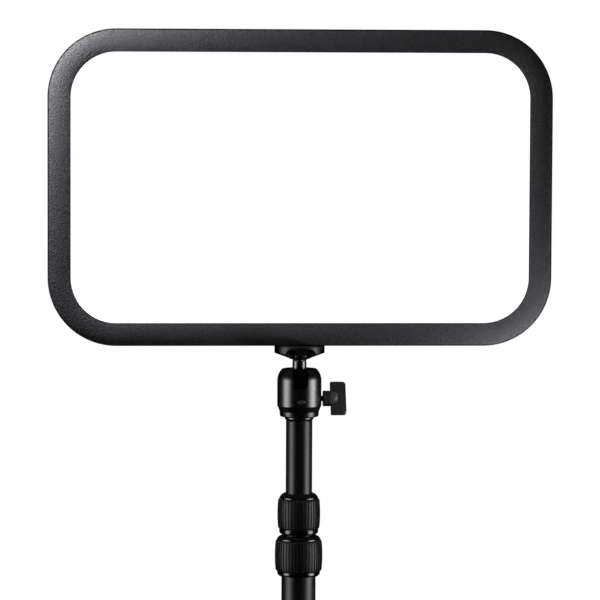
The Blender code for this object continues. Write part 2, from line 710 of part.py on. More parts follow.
def end_plug(name, radius, bottom):
    """Plastic plug that closes the foot of a sliding tube: a disc below it and a spigot inside."""
    inner = radius - TUBE_WALL - GAP
    profile = [
        (0.0, 14.0 * MM),
        (inner, 14.0 * MM),
        (inner, -GAP),
        (radius, -GAP),
        (radius, -3.0 * MM),
        (0.0, -3.0 * MM),
    ]
    turned(name, profile, BLACK_RUBBER, (0.0, 0.0, bottom), steps=24)


def make_tubes():
    """The three tubes, one inside the other, and the plugs of the two that slide."""
    top = HEAD_LEVEL - 56.3 * MM
    bottom = top - UPPER_TUBE_LENGTH
    hollow_cylinder("upper_tube", UPPER_TUBE_RADIUS, UPPER_TUBE_RADIUS - TUBE_WALL, top, bottom, BLACK_GLOSS)
    end_plug("upper_end_plug", UPPER_TUBE_RADIUS, bottom)
    top = HEAD_LEVEL - 127.0 * MM
    bottom = MIDDLE_TUBE_BOTTOM
    inner = MIDDLE_TUBE_RADIUS - TUBE_WALL
    hollow_cylinder("middle_tube", MIDDLE_TUBE_RADIUS, inner, top, bottom, BLACK_GLOSS)
    end_plug("middle_end_plug", MIDDLE_TUBE_RADIUS, bottom)
    top = HEAD_LEVEL - 160.8 * MM
    bottom = LOWER_TUBE_BOTTOM
    hollow_cylinder("lower_tube", LOWER_TUBE_RADIUS, LOWER_TUBE_RADIUS - TUBE_WALL, top, bottom, BLACK_GLOSS)


def make_upper_lock():
    """Twist lock between the upper and the middle tube."""
    level = (0.0, 0.0, HEAD_LEVEL)
    shell = [
        (10.4 * MM, -111.6 * MM),
        (11.6 * MM, -111.8 * MM),
        (13.1 * MM, -112.8 * MM),
        (14.3 * MM, -114.2 * MM),
        (14.6 * MM, -115.2 * MM),
        (13.7 * MM, -115.2 * MM),
        (13.7 * MM, -139.4 * MM),
        (14.9 * MM, -139.4 * MM),
        (14.6 * MM, -141.0 * MM),
        (13.2 * MM, -142.7 * MM),
        (12.8 * MM, -142.7 * MM),
        (12.8 * MM, -114.3 * MM),
        (11.4 * MM, -112.9 * MM),
        (10.4 * MM, -112.9 * MM),
    ]
    turned("upper_collar", shell, BLACK_GLOSS, level)
    grip = [
        (14.8 * MM, -115.5 * MM),
        (15.6 * MM, -117.2 * MM),
        (16.1 * MM, -121.6 * MM),
        (16.25 * MM, -127.4 * MM),
        (16.1 * MM, -133.4 * MM),
        (15.6 * MM, -138.0 * MM),
        (15.0 * MM, -139.1 * MM),
        (14.0 * MM, -139.1 * MM),
        (14.0 * MM, -115.5 * MM),
    ]
    turned("upper_grip", grip, BLACK_RUBBER, level, steps=30)
    top = HEAD_LEVEL - 127.3 * MM
    hollow_cylinder("upper_ferrule", 12.5 * MM, 11.8 * MM, top, top - 14.6 * MM, DARK_METAL, 24)
    top = HEAD_LEVEL - 114.6 * MM
    hollow_cylinder("upper_collet", 12.4 * MM, 10.4 * MM, top, top - 12.0 * MM, WHITE_PLASTIC, 24)


def make_lower_lock():
    """Twist lock between the middle and the lower tube."""
    level = (0.0, 0.0, HEAD_LEVEL)
    shell = [
        (11.9 * MM, -143.4 * MM),
        (12.9 * MM, -143.4 * MM),
        (15.2 * MM, -144.8 * MM),
        (16.3 * MM, -145.9 * MM),
        (16.5 * MM, -146.7 * MM),
        (15.6 * MM, -146.7 * MM),
        (15.6 * MM, -171.3 * MM),
        (16.2 * MM, -171.3 * MM),
        (16.1 * MM, -173.3 * MM),
        (14.8 * MM, -174.6 * MM),
        (14.4 * MM, -174.6 * MM),
        (14.4 * MM, -146.3 * MM),
        (11.9 * MM, -146.3 * MM),
    ]
    turned("lower_collar", shell, BLACK_GLOSS, level)
    grip = [
        (16.7 * MM, -147.0 * MM),
        (17.5 * MM, -148.6 * MM),
        (17.7 * MM, -151.0 * MM),
        (17.9 * MM, -155.0 * MM),
        (17.95 * MM, -159.7 * MM),
        (17.75 * MM, -165.8 * MM),
        (17.3 * MM, -170.0 * MM),
        (16.8 * MM, -171.0 * MM),
        (15.9 * MM, -171.0 * MM),
        (15.9 * MM, -147.0 * MM),
    ]
    turned("lower_grip", grip, BLACK_RUBBER, level, steps=30)
    top = HEAD_LEVEL - 161.1 * MM
    hollow_cylinder("lower_ferrule", 14.1 * MM, 13.3 * MM, top, top - 13.8 * MM, DARK_METAL, 24)
    top = HEAD_LEVEL - 146.8 * MM
    hollow_cylinder("lower_collet", 14.0 * MM, 11.9 * MM, top, top - 13.6 * MM, WHITE_PLASTIC, 24)


def make_pole_socket():
    """Socket that carries the pole on the clamp, and the bolt that holds it down."""
    profile = [
        (13.3 * MM, 46.0 * MM),
        (16.2 * MM, 46.0 * MM),
        (17.0 * MM, 45.2 * MM),
        (17.6 * MM, 20.0 * MM),
        (21.5 * MM, 15.4 * MM),
        (22.0 * MM, 14.4 * MM),
        (22.0 * MM, 10.3 * MM),
        (4.3 * MM, 10.3 * MM),
        (4.3 * MM, 18.0 * MM),
        (13.3 * MM, 18.0 * MM),
    ]
    turned("pole_socket", profile, BLACK_GLOSS, (0.0, 0.0, 0.0))
    bolt = [
        (0.0, 17.2 * MM),
        (3.9 * MM, 17.2 * MM),
        (3.9 * MM, 6.6 * MM),
        (6.5 * MM, 6.6 * MM),
        (6.5 * MM, 2.3 * MM),
        (2.4 * MM, 2.3 * MM),
        (2.4 * MM, 4.8 * MM),
        (0.0, 4.8 * MM),
    ]
    turned("pole_bolt", bolt, BARE_METAL, (0.0, 0.0, 0.0), steps=16)


def fillet(centre, radius, start, end, count=3):
    """Points of a rounded corner, as (y, z)."""
    return arc(centre[0], centre[1], radius, start, end, count)


def make_clamp_frame():
    """C-shaped clamp body: upper jaw, spine and lower arm."""
    edge = 4.0 * MM
    outer = 7.0 * MM
    outline = []
    outline += fillet((SPINE_BACK - outer, JAW_TOP - outer), outer, 0.0, 90.0, 4)
    outline += fillet((JAW_FRONT + edge, JAW_TOP - edge), edge, 90.0, 180.0)
    outline += fillet((JAW_FRONT + 2.0 * MM, JAW_BOTTOM + 2.0 * MM), 2.0 * MM, 180.0, 270.0, 2)
    outline += fillet((SPINE_FRONT - edge, JAW_BOTTOM - edge), edge, 90.0, 0.0)
    outline += fillet((SPINE_FRONT - edge, ARM_TOP + edge), edge, 0.0, -90.0)
    outline += fillet((ARM_FRONT + edge, ARM_TOP - edge), edge, 90.0, 180.0)
    outline += fillet((ARM_FRONT + edge, ARM_BOTTOM + edge), edge, 180.0, 270.0)
    outline += fillet((SPINE_BACK - outer, ARM_BOTTOM + outer), outer, 270.0, 360.0, 4)
    stand = (pi / 2, 0.0, pi / 2)
    at = (-CLAMP_HALF_WIDTH, 0.0, 0.0)
    frame = prism("clamp_frame", outline, 2 * CLAMP_HALF_WIDTH, BLACK_COAT, at, stand)
    head = [
        (0.0, 12.0 * MM),
        (4.2 * MM, 12.0 * MM),
        (4.2 * MM, 6.9 * MM),
        (6.9 * MM, 6.9 * MM),
        (6.9 * MM, 0.0),
        (0.0, 0.0),
    ]
    boolean(frame, turned("cut_bolt", head, None, (0.0, 0.0, 0.0), steps=16))
    at = (0.0, SPINDLE_Y, ARM_BOTTOM - 4.0 * MM)
    boolean(frame, prism("cut_spindle", circle(6.3 * MM, steps=24), 20.0 * MM, None, at))


def make_clamp_pads():
    """Soft pad under the upper jaw."""
    depth = SPINE_FRONT - 5.0 * MM - JAW_FRONT - 2.0 * MM
    outline = rounded_rectangle(46.0 * MM, depth, 3.0 * MM, 3)
    at = (0.0, JAW_FRONT + 2.0 * MM + depth / 2, 0.0)
    prism("jaw_pad", outline, 1.7 * MM, BLACK_RUBBER, at)


def make_pressure_plate():
    """Plate that presses up against the desk, with its pad."""
    top = -DESK_GAP
    centre = (0.0, SPINDLE_Y, top)
    plate = [
        (0.0, -1.7 * MM),
        (21.2 * MM, -1.7 * MM),
        (PLATE_RADIUS, -2.5 * MM),
        (PLATE_RADIUS, -5.2 * MM),
        (20.8 * MM, -6.0 * MM),
        (9.0 * MM, -6.4 * MM),
        (9.0 * MM, -10.0 * MM),
        (5.3 * MM, -10.0 * MM),
        (5.3 * MM, -7.0 * MM),
        (0.0, -7.0 * MM),
    ]
    turned("pressure_plate", plate, DARK_METAL, centre, steps=24)
    pad = [(0.0, 0.0), (20.6 * MM, 0.0), (21.0 * MM, -0.4 * MM), (21.0 * MM, -1.4 * MM), (0.0, -1.4 * MM)]
    turned("plate_pad", pad, BLACK_RUBBER, centre, steps=24)


def make_clamp_screw():
    """Clamp spindle and the lobed knob on its foot."""
    centre = (0.0, SPINDLE_Y, -DESK_GAP)
    spindle = [
        (0.0, -7.3 * MM),
        (4.3 * MM, -7.3 * MM),
        (4.9 * MM, -7.9 * MM),
        (4.9 * MM, -10.4 * MM),
        (SPINDLE_RADIUS, -10.4 * MM),
        (SPINDLE_RADIUS, -90.5 * MM),
        (0.0, -90.5 * MM),
    ]
    turned("clamp_spindle", spindle, BARE_METAL, centre, steps=20)
    outline = []
    for step in range(40):
        angle = 2 * pi * step / 40
        reach = (17.0 + 2.0 * cos(5 * angle)) * MM
        outline.append((reach * cos(angle), reach * sin(angle)))
    at = (0.0, SPINDLE_Y, -DESK_GAP - 95.0 * MM)
    knob = prism("clamp_knob", outline, 17.0 * MM, BLACK_COAT, at)
    boolean(knob, prism("cut_knob", circle(6.2 * MM), 20.0 * MM, None, (0.0, SPINDLE_Y, at[2] + 4.0 * MM)))


clear_scene()
light = new_collection("led_panel_light")
cutters = new_collection("cutters")
make_bezel()
make_light_stack()
make_led_strip("led_strip_left", -1)
make_led_strip("led_strip_right", 1)
make_back_cover()
make_rear_housing()
make_cover_screws()
make_mount_block()
make_electronics()
make_dc_jack()
make_led_harness()
make_controls()
make_platform()
make_ball()
make_ball_housing()
make_ball_lock()
make_lock_knob()
make_tubes()
make_upper_lock()
make_lower_lock()
make_pole_socket()
make_clamp_frame()
make_clamp_pads()
make_pressure_plate()
make_clamp_screw()
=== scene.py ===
"""Looks of the LED panel light: fine visual pieces, finishes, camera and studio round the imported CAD."""

import json
from math import cos, pi, radians, sin, sqrt, tan

import bmesh
import bpy
from mathutils import Matrix, Vector


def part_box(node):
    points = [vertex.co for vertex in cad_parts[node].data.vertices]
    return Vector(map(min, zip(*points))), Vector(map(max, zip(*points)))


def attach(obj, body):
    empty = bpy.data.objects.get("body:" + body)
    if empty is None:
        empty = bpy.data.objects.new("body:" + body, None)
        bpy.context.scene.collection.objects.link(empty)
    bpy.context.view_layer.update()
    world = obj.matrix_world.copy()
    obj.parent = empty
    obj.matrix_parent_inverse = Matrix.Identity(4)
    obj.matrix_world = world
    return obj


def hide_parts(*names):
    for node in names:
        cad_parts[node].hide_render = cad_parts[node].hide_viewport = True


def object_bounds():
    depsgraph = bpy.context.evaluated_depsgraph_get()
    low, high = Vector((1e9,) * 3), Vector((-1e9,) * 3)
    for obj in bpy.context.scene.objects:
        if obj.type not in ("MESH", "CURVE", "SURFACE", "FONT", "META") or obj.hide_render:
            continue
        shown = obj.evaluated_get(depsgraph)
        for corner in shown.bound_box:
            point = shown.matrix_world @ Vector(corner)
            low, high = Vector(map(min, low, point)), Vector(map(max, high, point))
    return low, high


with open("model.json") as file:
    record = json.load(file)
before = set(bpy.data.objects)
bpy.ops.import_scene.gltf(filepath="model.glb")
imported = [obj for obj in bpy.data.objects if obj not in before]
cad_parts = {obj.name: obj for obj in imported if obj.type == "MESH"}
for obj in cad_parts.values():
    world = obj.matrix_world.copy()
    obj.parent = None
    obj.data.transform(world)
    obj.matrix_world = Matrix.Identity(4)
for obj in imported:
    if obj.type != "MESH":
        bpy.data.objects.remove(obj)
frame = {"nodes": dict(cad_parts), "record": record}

cad_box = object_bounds()
MM = 0.001

# Levels and sizes that the boxes of the CAD nodes give.
PANEL_LOW, PANEL_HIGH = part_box("front_bezel")
PANEL_WIDTH = PANEL_HIGH.x - PANEL_LOW.x
PANEL_HEIGHT = PANEL_HIGH.z - PANEL_LOW.z
PANEL_MIDDLE = (PANEL_HIGH.z + PANEL_LOW.z) / 2
PANEL_FRONT = PANEL_LOW.y
PANEL_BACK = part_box("back_cover")[1].y
PANEL_SIZE = (PANEL_WIDTH, PANEL_HEIGHT)
REAR_LOW, REAR_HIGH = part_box("rear_housing")
REAR_MIDDLE = (REAR_HIGH.z + REAR_LOW.z) / 2
HEAD_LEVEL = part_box("platform")[1].z - 0.6 * MM
KNOB_DROP = HEAD_LEVEL - (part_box("lock_screw")[0].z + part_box("lock_screw")[1].z) / 2
GRUB_ASIDE = (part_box("set_screw")[0].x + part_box("set_screw")[1].x) / 2
GRUB_DROP = HEAD_LEVEL - (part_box("set_screw")[0].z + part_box("set_screw")[1].z) / 2

# Sizes of the CAD that no box gives.
PANEL_CORNER = 51.5 * MM
BORDER = 17.3 * MM
BALL_DROP = 27.0 * MM
KNOB_LEAN = radians(-33.0)
SPINDLE_Y = -18.0 * MM
PRESS_TOP = -30.0 * MM

# Turns that lay a shape's own Z axis along another one.
FACING_BACK = Matrix.Rotation(-pi / 2, 4, "X")
FACING_FRONT = Matrix.Rotation(pi / 2, 4, "X")
ALONG_X = Matrix.Rotation(pi / 2, 4, "Y")

# Edges sharper than these are bevelled, and shaded with a break.
BEVEL_ANGLE = radians(40.0)
SHARP_ANGLE = radians(42.0)


def put(name, data):
    """Add an object to the scene."""
    thing = bpy.data.objects.new(name, data)
    bpy.context.scene.collection.objects.link(thing)
    return thing


# -------------------- camera

def add_camera():
    """Camera at the photograph's viewing angle."""
    yaw = radians(3.524)
    pitch = radians(-3.939)
    roll = radians(0.251)
    forward = Vector((sin(yaw) * cos(pitch), cos(yaw) * cos(pitch), sin(pitch)))
    level = Vector((cos(yaw), -sin(yaw), 0.0))
    upright = level.cross(forward)
    right = level * cos(roll) + upright * sin(roll)
    up = upright * cos(roll) - level * sin(roll)
    camera = put("camera", bpy.data.cameras.new("camera"))
    pose = Matrix((right, up, -forward)).transposed().to_4x4()
    pose.translation = Vector((-0.1599, -2.6, 0.6890))
    camera.matrix_world = pose
    camera.data.sensor_width = 36.0
    camera.data.lens = 207.28
    camera.data.clip_end = 60.0
    bpy.context.scene.camera = camera


add_camera()


# -------------------- finishes

class Graph:
    """Short names for the nodes that the finishes are made of."""

    def __init__(self, name):
        self.material = bpy.data.materials.new(name)
        self.material.use_nodes = True
        self.tree = self.material.node_tree
        self.shader = self.tree.nodes["Principled BSDF"]
        self.place = self.tree.nodes.new("ShaderNodeTexCoord").outputs["Object"]

    def node(self, kind, inputs=(), **settings):
        """Add a node with its settings and the values of its inputs."""
        made = self.tree.nodes.new(kind)
        for key, value in settings.items():
            setattr(made, key, value)
        for key, value in inputs:
            made.inputs[key].default_value = value
        return made

    def link(self, source, target):
        self.tree.links.new(source, target)

    def stretched(self, scale):
        """Object coordinates, stretched along the axes."""
        mapping = self.node("ShaderNodeMapping", [("Scale", scale)])
        self.link(self.place, mapping.inputs["Vector"])
        return mapping.outputs["Vector"]

    def noise(self, scale, detail=2.0, rough=0.5, where=None):
        inputs = [("Scale", scale), ("Detail", detail), ("Roughness", rough)]
        made = self.node("ShaderNodeTexNoise", inputs)
        self.link(where or self.place, made.inputs["Vector"])
        return made.outputs["Fac"]

    def span(self, source, low, high, to_low=0.0, to_high=1.0):
        """Map low..high onto another span, clamped."""
        inputs = [("From Min", low), ("From Max", high), ("To Min", to_low), ("To Max", to_high)]
        made = self.node("ShaderNodeMapRange", inputs)
        self.link(source, made.inputs["Value"])
        return made.outputs["Result"]

    def drift(self, source, to_low=0.0, to_high=1.0):
        """Map the range that a noise mostly stays in onto another span."""
        return self.span(source, 0.3, 0.7, to_low, to_high)

    def maths(self, operation, first, second):
        made = self.node("ShaderNodeMath", operation=operation)
        for slot, value in ((0, first), (1, second)):
            if isinstance(value, float):
                made.inputs[slot].default_value = value
            else:
                self.link(value, made.inputs[slot])
        return made.outputs[0]

    def blend(self, amount, first, second):
        """Mix two colours, given as triples or as sockets."""
        made = self.node("ShaderNodeMix", data_type="RGBA")
        self.link(amount, made.inputs["Factor"])
        for slot, value in (("A", first), ("B", second)):
            socket = [item for item in made.inputs if item.name == slot and item.type == "RGBA"][0]
            if isinstance(value, tuple):
                socket.default_value = (*value, 1.0)
            else:
                self.link(value, socket)
        return [item for item in made.outputs if item.type == "RGBA"][0]

    def edge(self):
        """1 on a piece's rounded edges, 0 on its flats."""
        return self.node("ShaderNodeAttribute", attribute_name="edge").outputs["Fac"]

    def bump(self, height, strength, distance):
        made = self.node("ShaderNodeBump", [("Strength", strength), ("Distance", distance)])
        self.link(height, made.inputs["Height"])
        return made.outputs["Normal"]

    def paint(self, colour=None, roughness=None, normal=None):
        for name, source in (("Base Color", colour), ("Roughness", roughness), ("Normal", normal)):
            if source is not None:
                self.link(source, self.shader.inputs[name])

    def constants(self, **values):
        for key, value in values.items():
            self.shader.inputs[key.replace("_", " ")].default_value = value


def worn(graph, colour, bare, reach=0.62):
    """Lighter wear in patches along the rounded edges."""
    patches = graph.noise(160.0, 4.0, 0.65)
    amount = graph.span(graph.maths("MULTIPLY", graph.edge(), patches), reach, reach + 0.14)
    return graph.blend(amount, colour, bare), amount


def powder_coat(name, dark, light, fleck, grain, relief, edge_shade_tone=0.4):
    """Fine-grained matt coat with small bright flecks, and painted shade that darkens it on its rounded
    edges.
    """
    graph = Graph(name)
    fine = graph.noise(grain, 2.0, 0.6)
    soft = graph.noise(45.0, 3.0)
    tone = graph.blend(graph.span(fine, 0.34, 0.66), dark, light)
    tone = graph.blend(graph.span(graph.noise(grain * 1.3, 1.0), 0.66, 0.76), tone, fleck)
    # Painted shade: the colour is darkened on the rounded edges to a dark line; the same mask also makes the
    # edges rougher.
    rim = graph.span(graph.edge(), 0.04, 0.35)
    tone = graph.blend(rim, tone, tuple(edge_shade_tone * part for part in dark))
    tone, _ = worn(graph, tone, light, 0.64)
    gloss = graph.maths("ADD", graph.drift(soft, 0.40, 0.47), graph.drift(fine, 0.0, 0.08))
    gloss = graph.maths("ADD", gloss, graph.maths("MULTIPLY", rim, 0.22))
    graph.paint(tone, gloss, graph.bump(fine, 0.9, relief))
    return graph.material


def lacquer(name, tone, gloss, shine=0.9):
    """Smooth black lacquer with faint smears and dust."""
    graph = Graph(name)
    smear = graph.noise(38.0, 4.0, 0.6, graph.stretched((1.0, 1.0, 0.35)))
    dust = graph.span(graph.noise(900.0, 2.0), 0.70, 0.78)
    colour = graph.blend(dust, tone, tuple(part + 0.02 for part in tone))
    colour, wear = worn(graph, colour, (0.045, 0.045, 0.047), 0.66)
    smears = graph.drift(smear, gloss, gloss + 0.05)
    rough = graph.maths("ADD", smears, graph.maths("MULTIPLY", dust, 0.12))
    rough = graph.maths("ADD", rough, graph.maths("MULTIPLY", wear, 0.10))
    peel = graph.bump(graph.noise(420.0, 2.0), 0.05, 0.0002)
    graph.constants(Specular_IOR_Level=shine)
    graph.paint(colour, rough, peel)
    return graph.material


def anodised(name, dark, light):
    """Satin black tube with drawing marks along it."""
    graph = Graph(name)
    drawn = graph.noise(1.0, 3.0, 0.6, graph.stretched((2600.0, 2600.0, 14.0)))
    cloud = graph.noise(30.0, 3.0)
    colour = graph.blend(graph.drift(drawn), dark, light)
    colour, _ = worn(graph, colour, (0.12, 0.12, 0.125), 0.5)
    rough = graph.maths("ADD", graph.drift(cloud, 0.31, 0.35), graph.drift(drawn, 0.0, 0.05))
    graph.constants(Specular_IOR_Level=0.38)
    graph.paint(colour, rough, graph.bump(drawn, 0.10, 0.00006))
    return graph.material


def moulded(name, dark, light, gloss, grain=1900.0):
    """Moulded plastic with spark-eroded grain."""
    graph = Graph(name)
    fine = graph.noise(grain, 3.0, 0.6)
    cloud = graph.noise(70.0, 3.0)
    colour = graph.blend(graph.span(fine, 0.32, 0.68), dark, light)
    colour, wear = worn(graph, colour, tuple(1.9 * part + 0.01 for part in light), 0.58)
    base = graph.drift(cloud, gloss, gloss + 0.08)
    rough = graph.maths("ADD", base, graph.maths("MULTIPLY", wear, -0.12))
    graph.paint(colour, rough, graph.bump(fine, 0.35, 0.00008))
    return graph.material


def rubber(name, dark, light):
    """Matt rubber with dust and fine pores."""
    graph = Graph(name)
    pores = graph.noise(2600.0, 2.0, 0.6)
    dust = graph.noise(130.0, 5.0, 0.7)
    colour = graph.blend(graph.span(dust, 0.42, 0.75), dark, light)
    graph.constants(Specular_IOR_Level=0.34)
    graph.paint(colour, graph.drift(pores, 0.36, 0.50), graph.bump(pores, 0.25, 0.00006))
    return graph.material


def metal(name, tone, stain, gloss, direction=(900.0, 900.0, 60.0)):
    """Bare metal with machining marks and slight staining."""
    graph = Graph(name)
    graph.constants(Metallic=1.0)
    marks = graph.noise(1.0, 3.0, 0.6, graph.stretched(direction))
    cloud = graph.noise(110.0, 4.0, 0.6)
    colour = graph.blend(graph.span(cloud, 0.35, 0.75), tone, stain)
    rough = graph.maths("ADD", graph.drift(cloud, gloss, gloss + 0.08), graph.drift(marks, 0.0, 0.10))
    graph.paint(colour, rough, graph.bump(marks, 0.18, 0.00005))
    return graph.material


def board(name):
    """Green circuit board with copper tracks under the mask."""
    graph = Graph(name)
    cells = graph.node("ShaderNodeTexBrick", [("Scale", 260.0), ("Mortar Size", 0.06)])
    graph.link(graph.stretched((1.0, 0.0, 1.0)), cells.inputs["Vector"])
    cloud = graph.noise(240.0, 2.0)
    green = graph.blend(graph.drift(cloud), (0.010, 0.075, 0.032), (0.016, 0.11, 0.045))
    colour = graph.blend(cells.outputs["Fac"], green, (0.03, 0.19, 0.07))
    graph.paint(colour, graph.drift(cloud, 0.26, 0.4), graph.bump(cells.outputs["Fac"], 0.2, 0.00004))
    return graph.material


def opal_sheet(name):
    """Diffuser that glows white and cools a little towards its edge."""
    graph = Graph(name)
    parts = graph.node("ShaderNodeSeparateXYZ")
    graph.link(graph.place, parts.inputs[0])
    half_width = PANEL_WIDTH / 2 - BORDER
    half_height = PANEL_HEIGHT / 2 - BORDER
    fade = 10.0 * MM
    across = graph.maths("ABSOLUTE", parts.outputs["X"], 0.0)
    rise = graph.maths("ABSOLUTE", graph.maths("SUBTRACT", parts.outputs["Z"], PANEL_MIDDLE), 0.0)
    near_side = graph.span(across, half_width - fade, half_width)
    near_rail = graph.span(rise, half_height - fade, half_height)
    rim = graph.maths("MAXIMUM", near_side, near_rail)
    rim = graph.maths("POWER", rim, 2.0)
    speck = graph.noise(700.0, 2.0)
    glow = graph.blend(rim, (1.0, 1.0, 1.0), (0.90, 0.885, 1.0))
    graph.link(glow, graph.shader.inputs["Emission Color"])
    graph.constants(Emission_Strength=1.04, Base_Color=(0.6, 0.6, 0.6, 1.0))
    graph.paint(roughness=graph.drift(speck, 0.4, 0.55), normal=graph.bump(speck, 0.1, 0.00005))
    return graph.material


def clear_sheet(name):
    """Clear acrylic light guide with its printed dots."""
    graph = Graph(name)
    dots = graph.node("ShaderNodeTexVoronoi", [("Scale", 400.0)])
    graph.link(graph.place, dots.inputs["Vector"])
    dot = graph.span(dots.outputs["Distance"], 0.2, 0.35)
    colour = graph.blend(dot, (0.95, 0.96, 0.97), (0.86, 0.9, 0.93))
    graph.constants(Transmission_Weight=0.9, IOR=1.49)
    graph.paint(colour, graph.span(dots.outputs["Distance"], 0.2, 0.4, 0.3, 0.06))
    return graph.material


def dark_window(name):
    """Smoked display window with faint smears."""
    graph = Graph(name)
    smear = graph.noise(90.0, 4.0, 0.7)
    graph.constants(Transmission_Weight=0.85, IOR=1.5)
    colour = graph.blend(graph.drift(smear), (0.20, 0.21, 0.23), (0.26, 0.27, 0.29))
    graph.paint(colour, graph.drift(smear, 0.03, 0.10), graph.bump(smear, 0.02, 0.0001))
    return graph.material


def display(name):
    """Dark display module with two lit bars."""
    graph = Graph(name)
    parts = graph.node("ShaderNodeSeparateXYZ")
    graph.link(graph.place, parts.inputs[0])
    low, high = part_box("display_module")
    middle = (low.z + high.z) / 2
    lit = None
    for level, reach in ((middle + 0.0030, 0.009), (middle - 0.0030, 0.003)):
        rise = graph.maths("ABSOLUTE", graph.maths("SUBTRACT", parts.outputs["Z"], level), 0.0)
        row = graph.maths("LESS_THAN", rise, 0.0014)
        start = graph.maths("GREATER_THAN", parts.outputs["X"], -reach)
        end = graph.maths("LESS_THAN", parts.outputs["X"], 0.014)
        comb = graph.maths("MODULO", graph.maths("ADD", parts.outputs["X"], 1.0), 0.002)
        ticks = graph.maths("LESS_THAN", comb, 0.0014)
        cells = graph.maths("MULTIPLY", end, ticks)
        bar = graph.maths("MULTIPLY", graph.maths("MULTIPLY", row, start), cells)
        lit = bar if lit is None else graph.maths("MAXIMUM", lit, bar)
    grain = graph.noise(1200.0, 1.0)
    graph.link(graph.blend(lit, (0.0, 0.0, 0.0), (0.45, 0.85, 1.0)), graph.shader.inputs["Emission Color"])
    graph.constants(Emission_Strength=2.2, Base_Color=(0.006, 0.007, 0.009, 1.0))
    graph.paint(roughness=graph.drift(grain, 0.2, 0.3))
    return graph.material


FINISHES = {
    "black_coat": powder_coat(
        "black_coat", (0.022, 0.022, 0.024), (0.034, 0.034, 0.037), (0.055, 0.055, 0.06), 900.0, 0.0004),
    "black_plastic": moulded("black_plastic", (0.022, 0.022, 0.0235), (0.038, 0.038, 0.0405), 0.40),
    "black_lacquer": lacquer("black_lacquer", (0.0014, 0.0014, 0.0016), 0.23),
    "black_tube": anodised("black_tube", (0.0014, 0.0014, 0.0016), (0.003, 0.003, 0.0034)),
    "clamp_paint": powder_coat(
        "clamp_paint", (0.016, 0.016, 0.017), (0.028, 0.028, 0.030), (0.05, 0.05, 0.053), 700.0, 0.0003),
    "dark_steel": metal("dark_steel", (0.11, 0.11, 0.115), (0.075, 0.07, 0.065), 0.30),
    "bright_steel": metal("bright_steel", (0.60, 0.60, 0.61), (0.46, 0.45, 0.43), 0.22),
    "brass": metal("brass", (0.74, 0.56, 0.28), (0.60, 0.43, 0.20), 0.25),
    "bare_aluminium": metal(
        "bare_aluminium", (0.72, 0.73, 0.74), (0.62, 0.63, 0.64), 0.32, (60.0, 900.0, 900.0)),
    "rubber": rubber("rubber", (0.0022, 0.0022, 0.0024), (0.007, 0.007, 0.0076)),
    "opal": opal_sheet("opal"),
    "clear_acrylic": clear_sheet("clear_acrylic"),
    "window": dark_window("window"),
    "white_plastic": moulded("white_plastic", (0.78, 0.78, 0.76), (0.86, 0.86, 0.84), 0.40, 1200.0),
    "board": board("board"),
    "component": moulded("component", (0.015, 0.015, 0.016), (0.03, 0.03, 0.032), 0.5),
    "button": moulded("button", (0.010, 0.010, 0.011), (0.016, 0.016, 0.017), 0.28),
}
# Front frame coat: its rounded edges get the darkest painted shade, a near-black outline.
FRAME = powder_coat(
    "frame_coat", (0.019, 0.019, 0.021), (0.037, 0.037, 0.040), (0.066, 0.066, 0.072), 900.0, 0.0004, 0.04)
SATIN = lacquer("satin_lacquer", (0.003, 0.003, 0.0034), 0.30, 0.24)
GLOSS = lacquer("gloss_lacquer", (0.0014, 0.0014, 0.0016), 0.11, 1.0)
PRINT = moulded("scale_print", (0.50, 0.50, 0.50), (0.62, 0.62, 0.62), 0.45)
DISPLAY = display("display")


# -------------------- shapes

def round_corners(points, closed, steps):
    """Round a polyline's corners. Points are (a, b, radius); the result is (a, b, edge)."""
    count = len(points)
    area = 0.0
    for index in range(count):
        here, after = points[index], points[(index + 1) % count]
        area += here[0] * after[1] - after[0] * here[1]
    result = []
    for index, (a, b, radius) in enumerate(points):
        here = Vector((a, b))
        before = Vector(points[index - 1][:2]) - here
        after = Vector(points[(index + 1) % count][:2]) - here
        ends = not closed and index in (0, count - 1)
        if radius == 0.0 or ends or before.angle(after) > 3.1:
            result.append((a, b, 0.0))
            continue
        turn = before.angle(after)
        reach = min(radius / tan(turn / 2), 0.48 * before.length, 0.48 * after.length)
        convex = (before.x * after.y - before.y * after.x) * area < 0.0
        before.normalize()
        after.normalize()
        middle = here + (before + after).normalized() * (reach * tan(turn / 2) / sin(turn / 2))
        first = here + before * reach - middle
        last = here + after * reach - middle
        sweep = pi - turn
        for step in range(steps + 1):
            part = step / steps
            spoke = (first * sin((1.0 - part) * sweep) + last * sin(part * sweep)) / sin(sweep)
            # The edge value marks convex roundings; finishes use it for wear and, on the coats, for painted
            # shade.
            wear = 1.0 - abs(2.0 * part - 1.0) if convex else 0.0
            result.append((middle.x + spoke.x, middle.y + spoke.y, wear))
    return result


def new_shape():
    """An empty bmesh with the edge layer, which drives both wear and painted edge shade."""
    shape = bmesh.new()
    shape.verts.layers.float.new("edge")
    return shape


def settle(name, shape, place=None):
    """Turn a bmesh into an object whose mesh is in world coordinates."""
    if place is not None:
        bmesh.ops.transform(shape, matrix=place, verts=shape.verts)
    bmesh.ops.recalc_face_normals(shape, faces=list(shape.faces))
    mesh = bpy.data.meshes.new(name)
    shape.to_mesh(mesh)
    shape.free()
    for face in mesh.polygons:
        face.use_smooth = True
    return put(name, mesh)


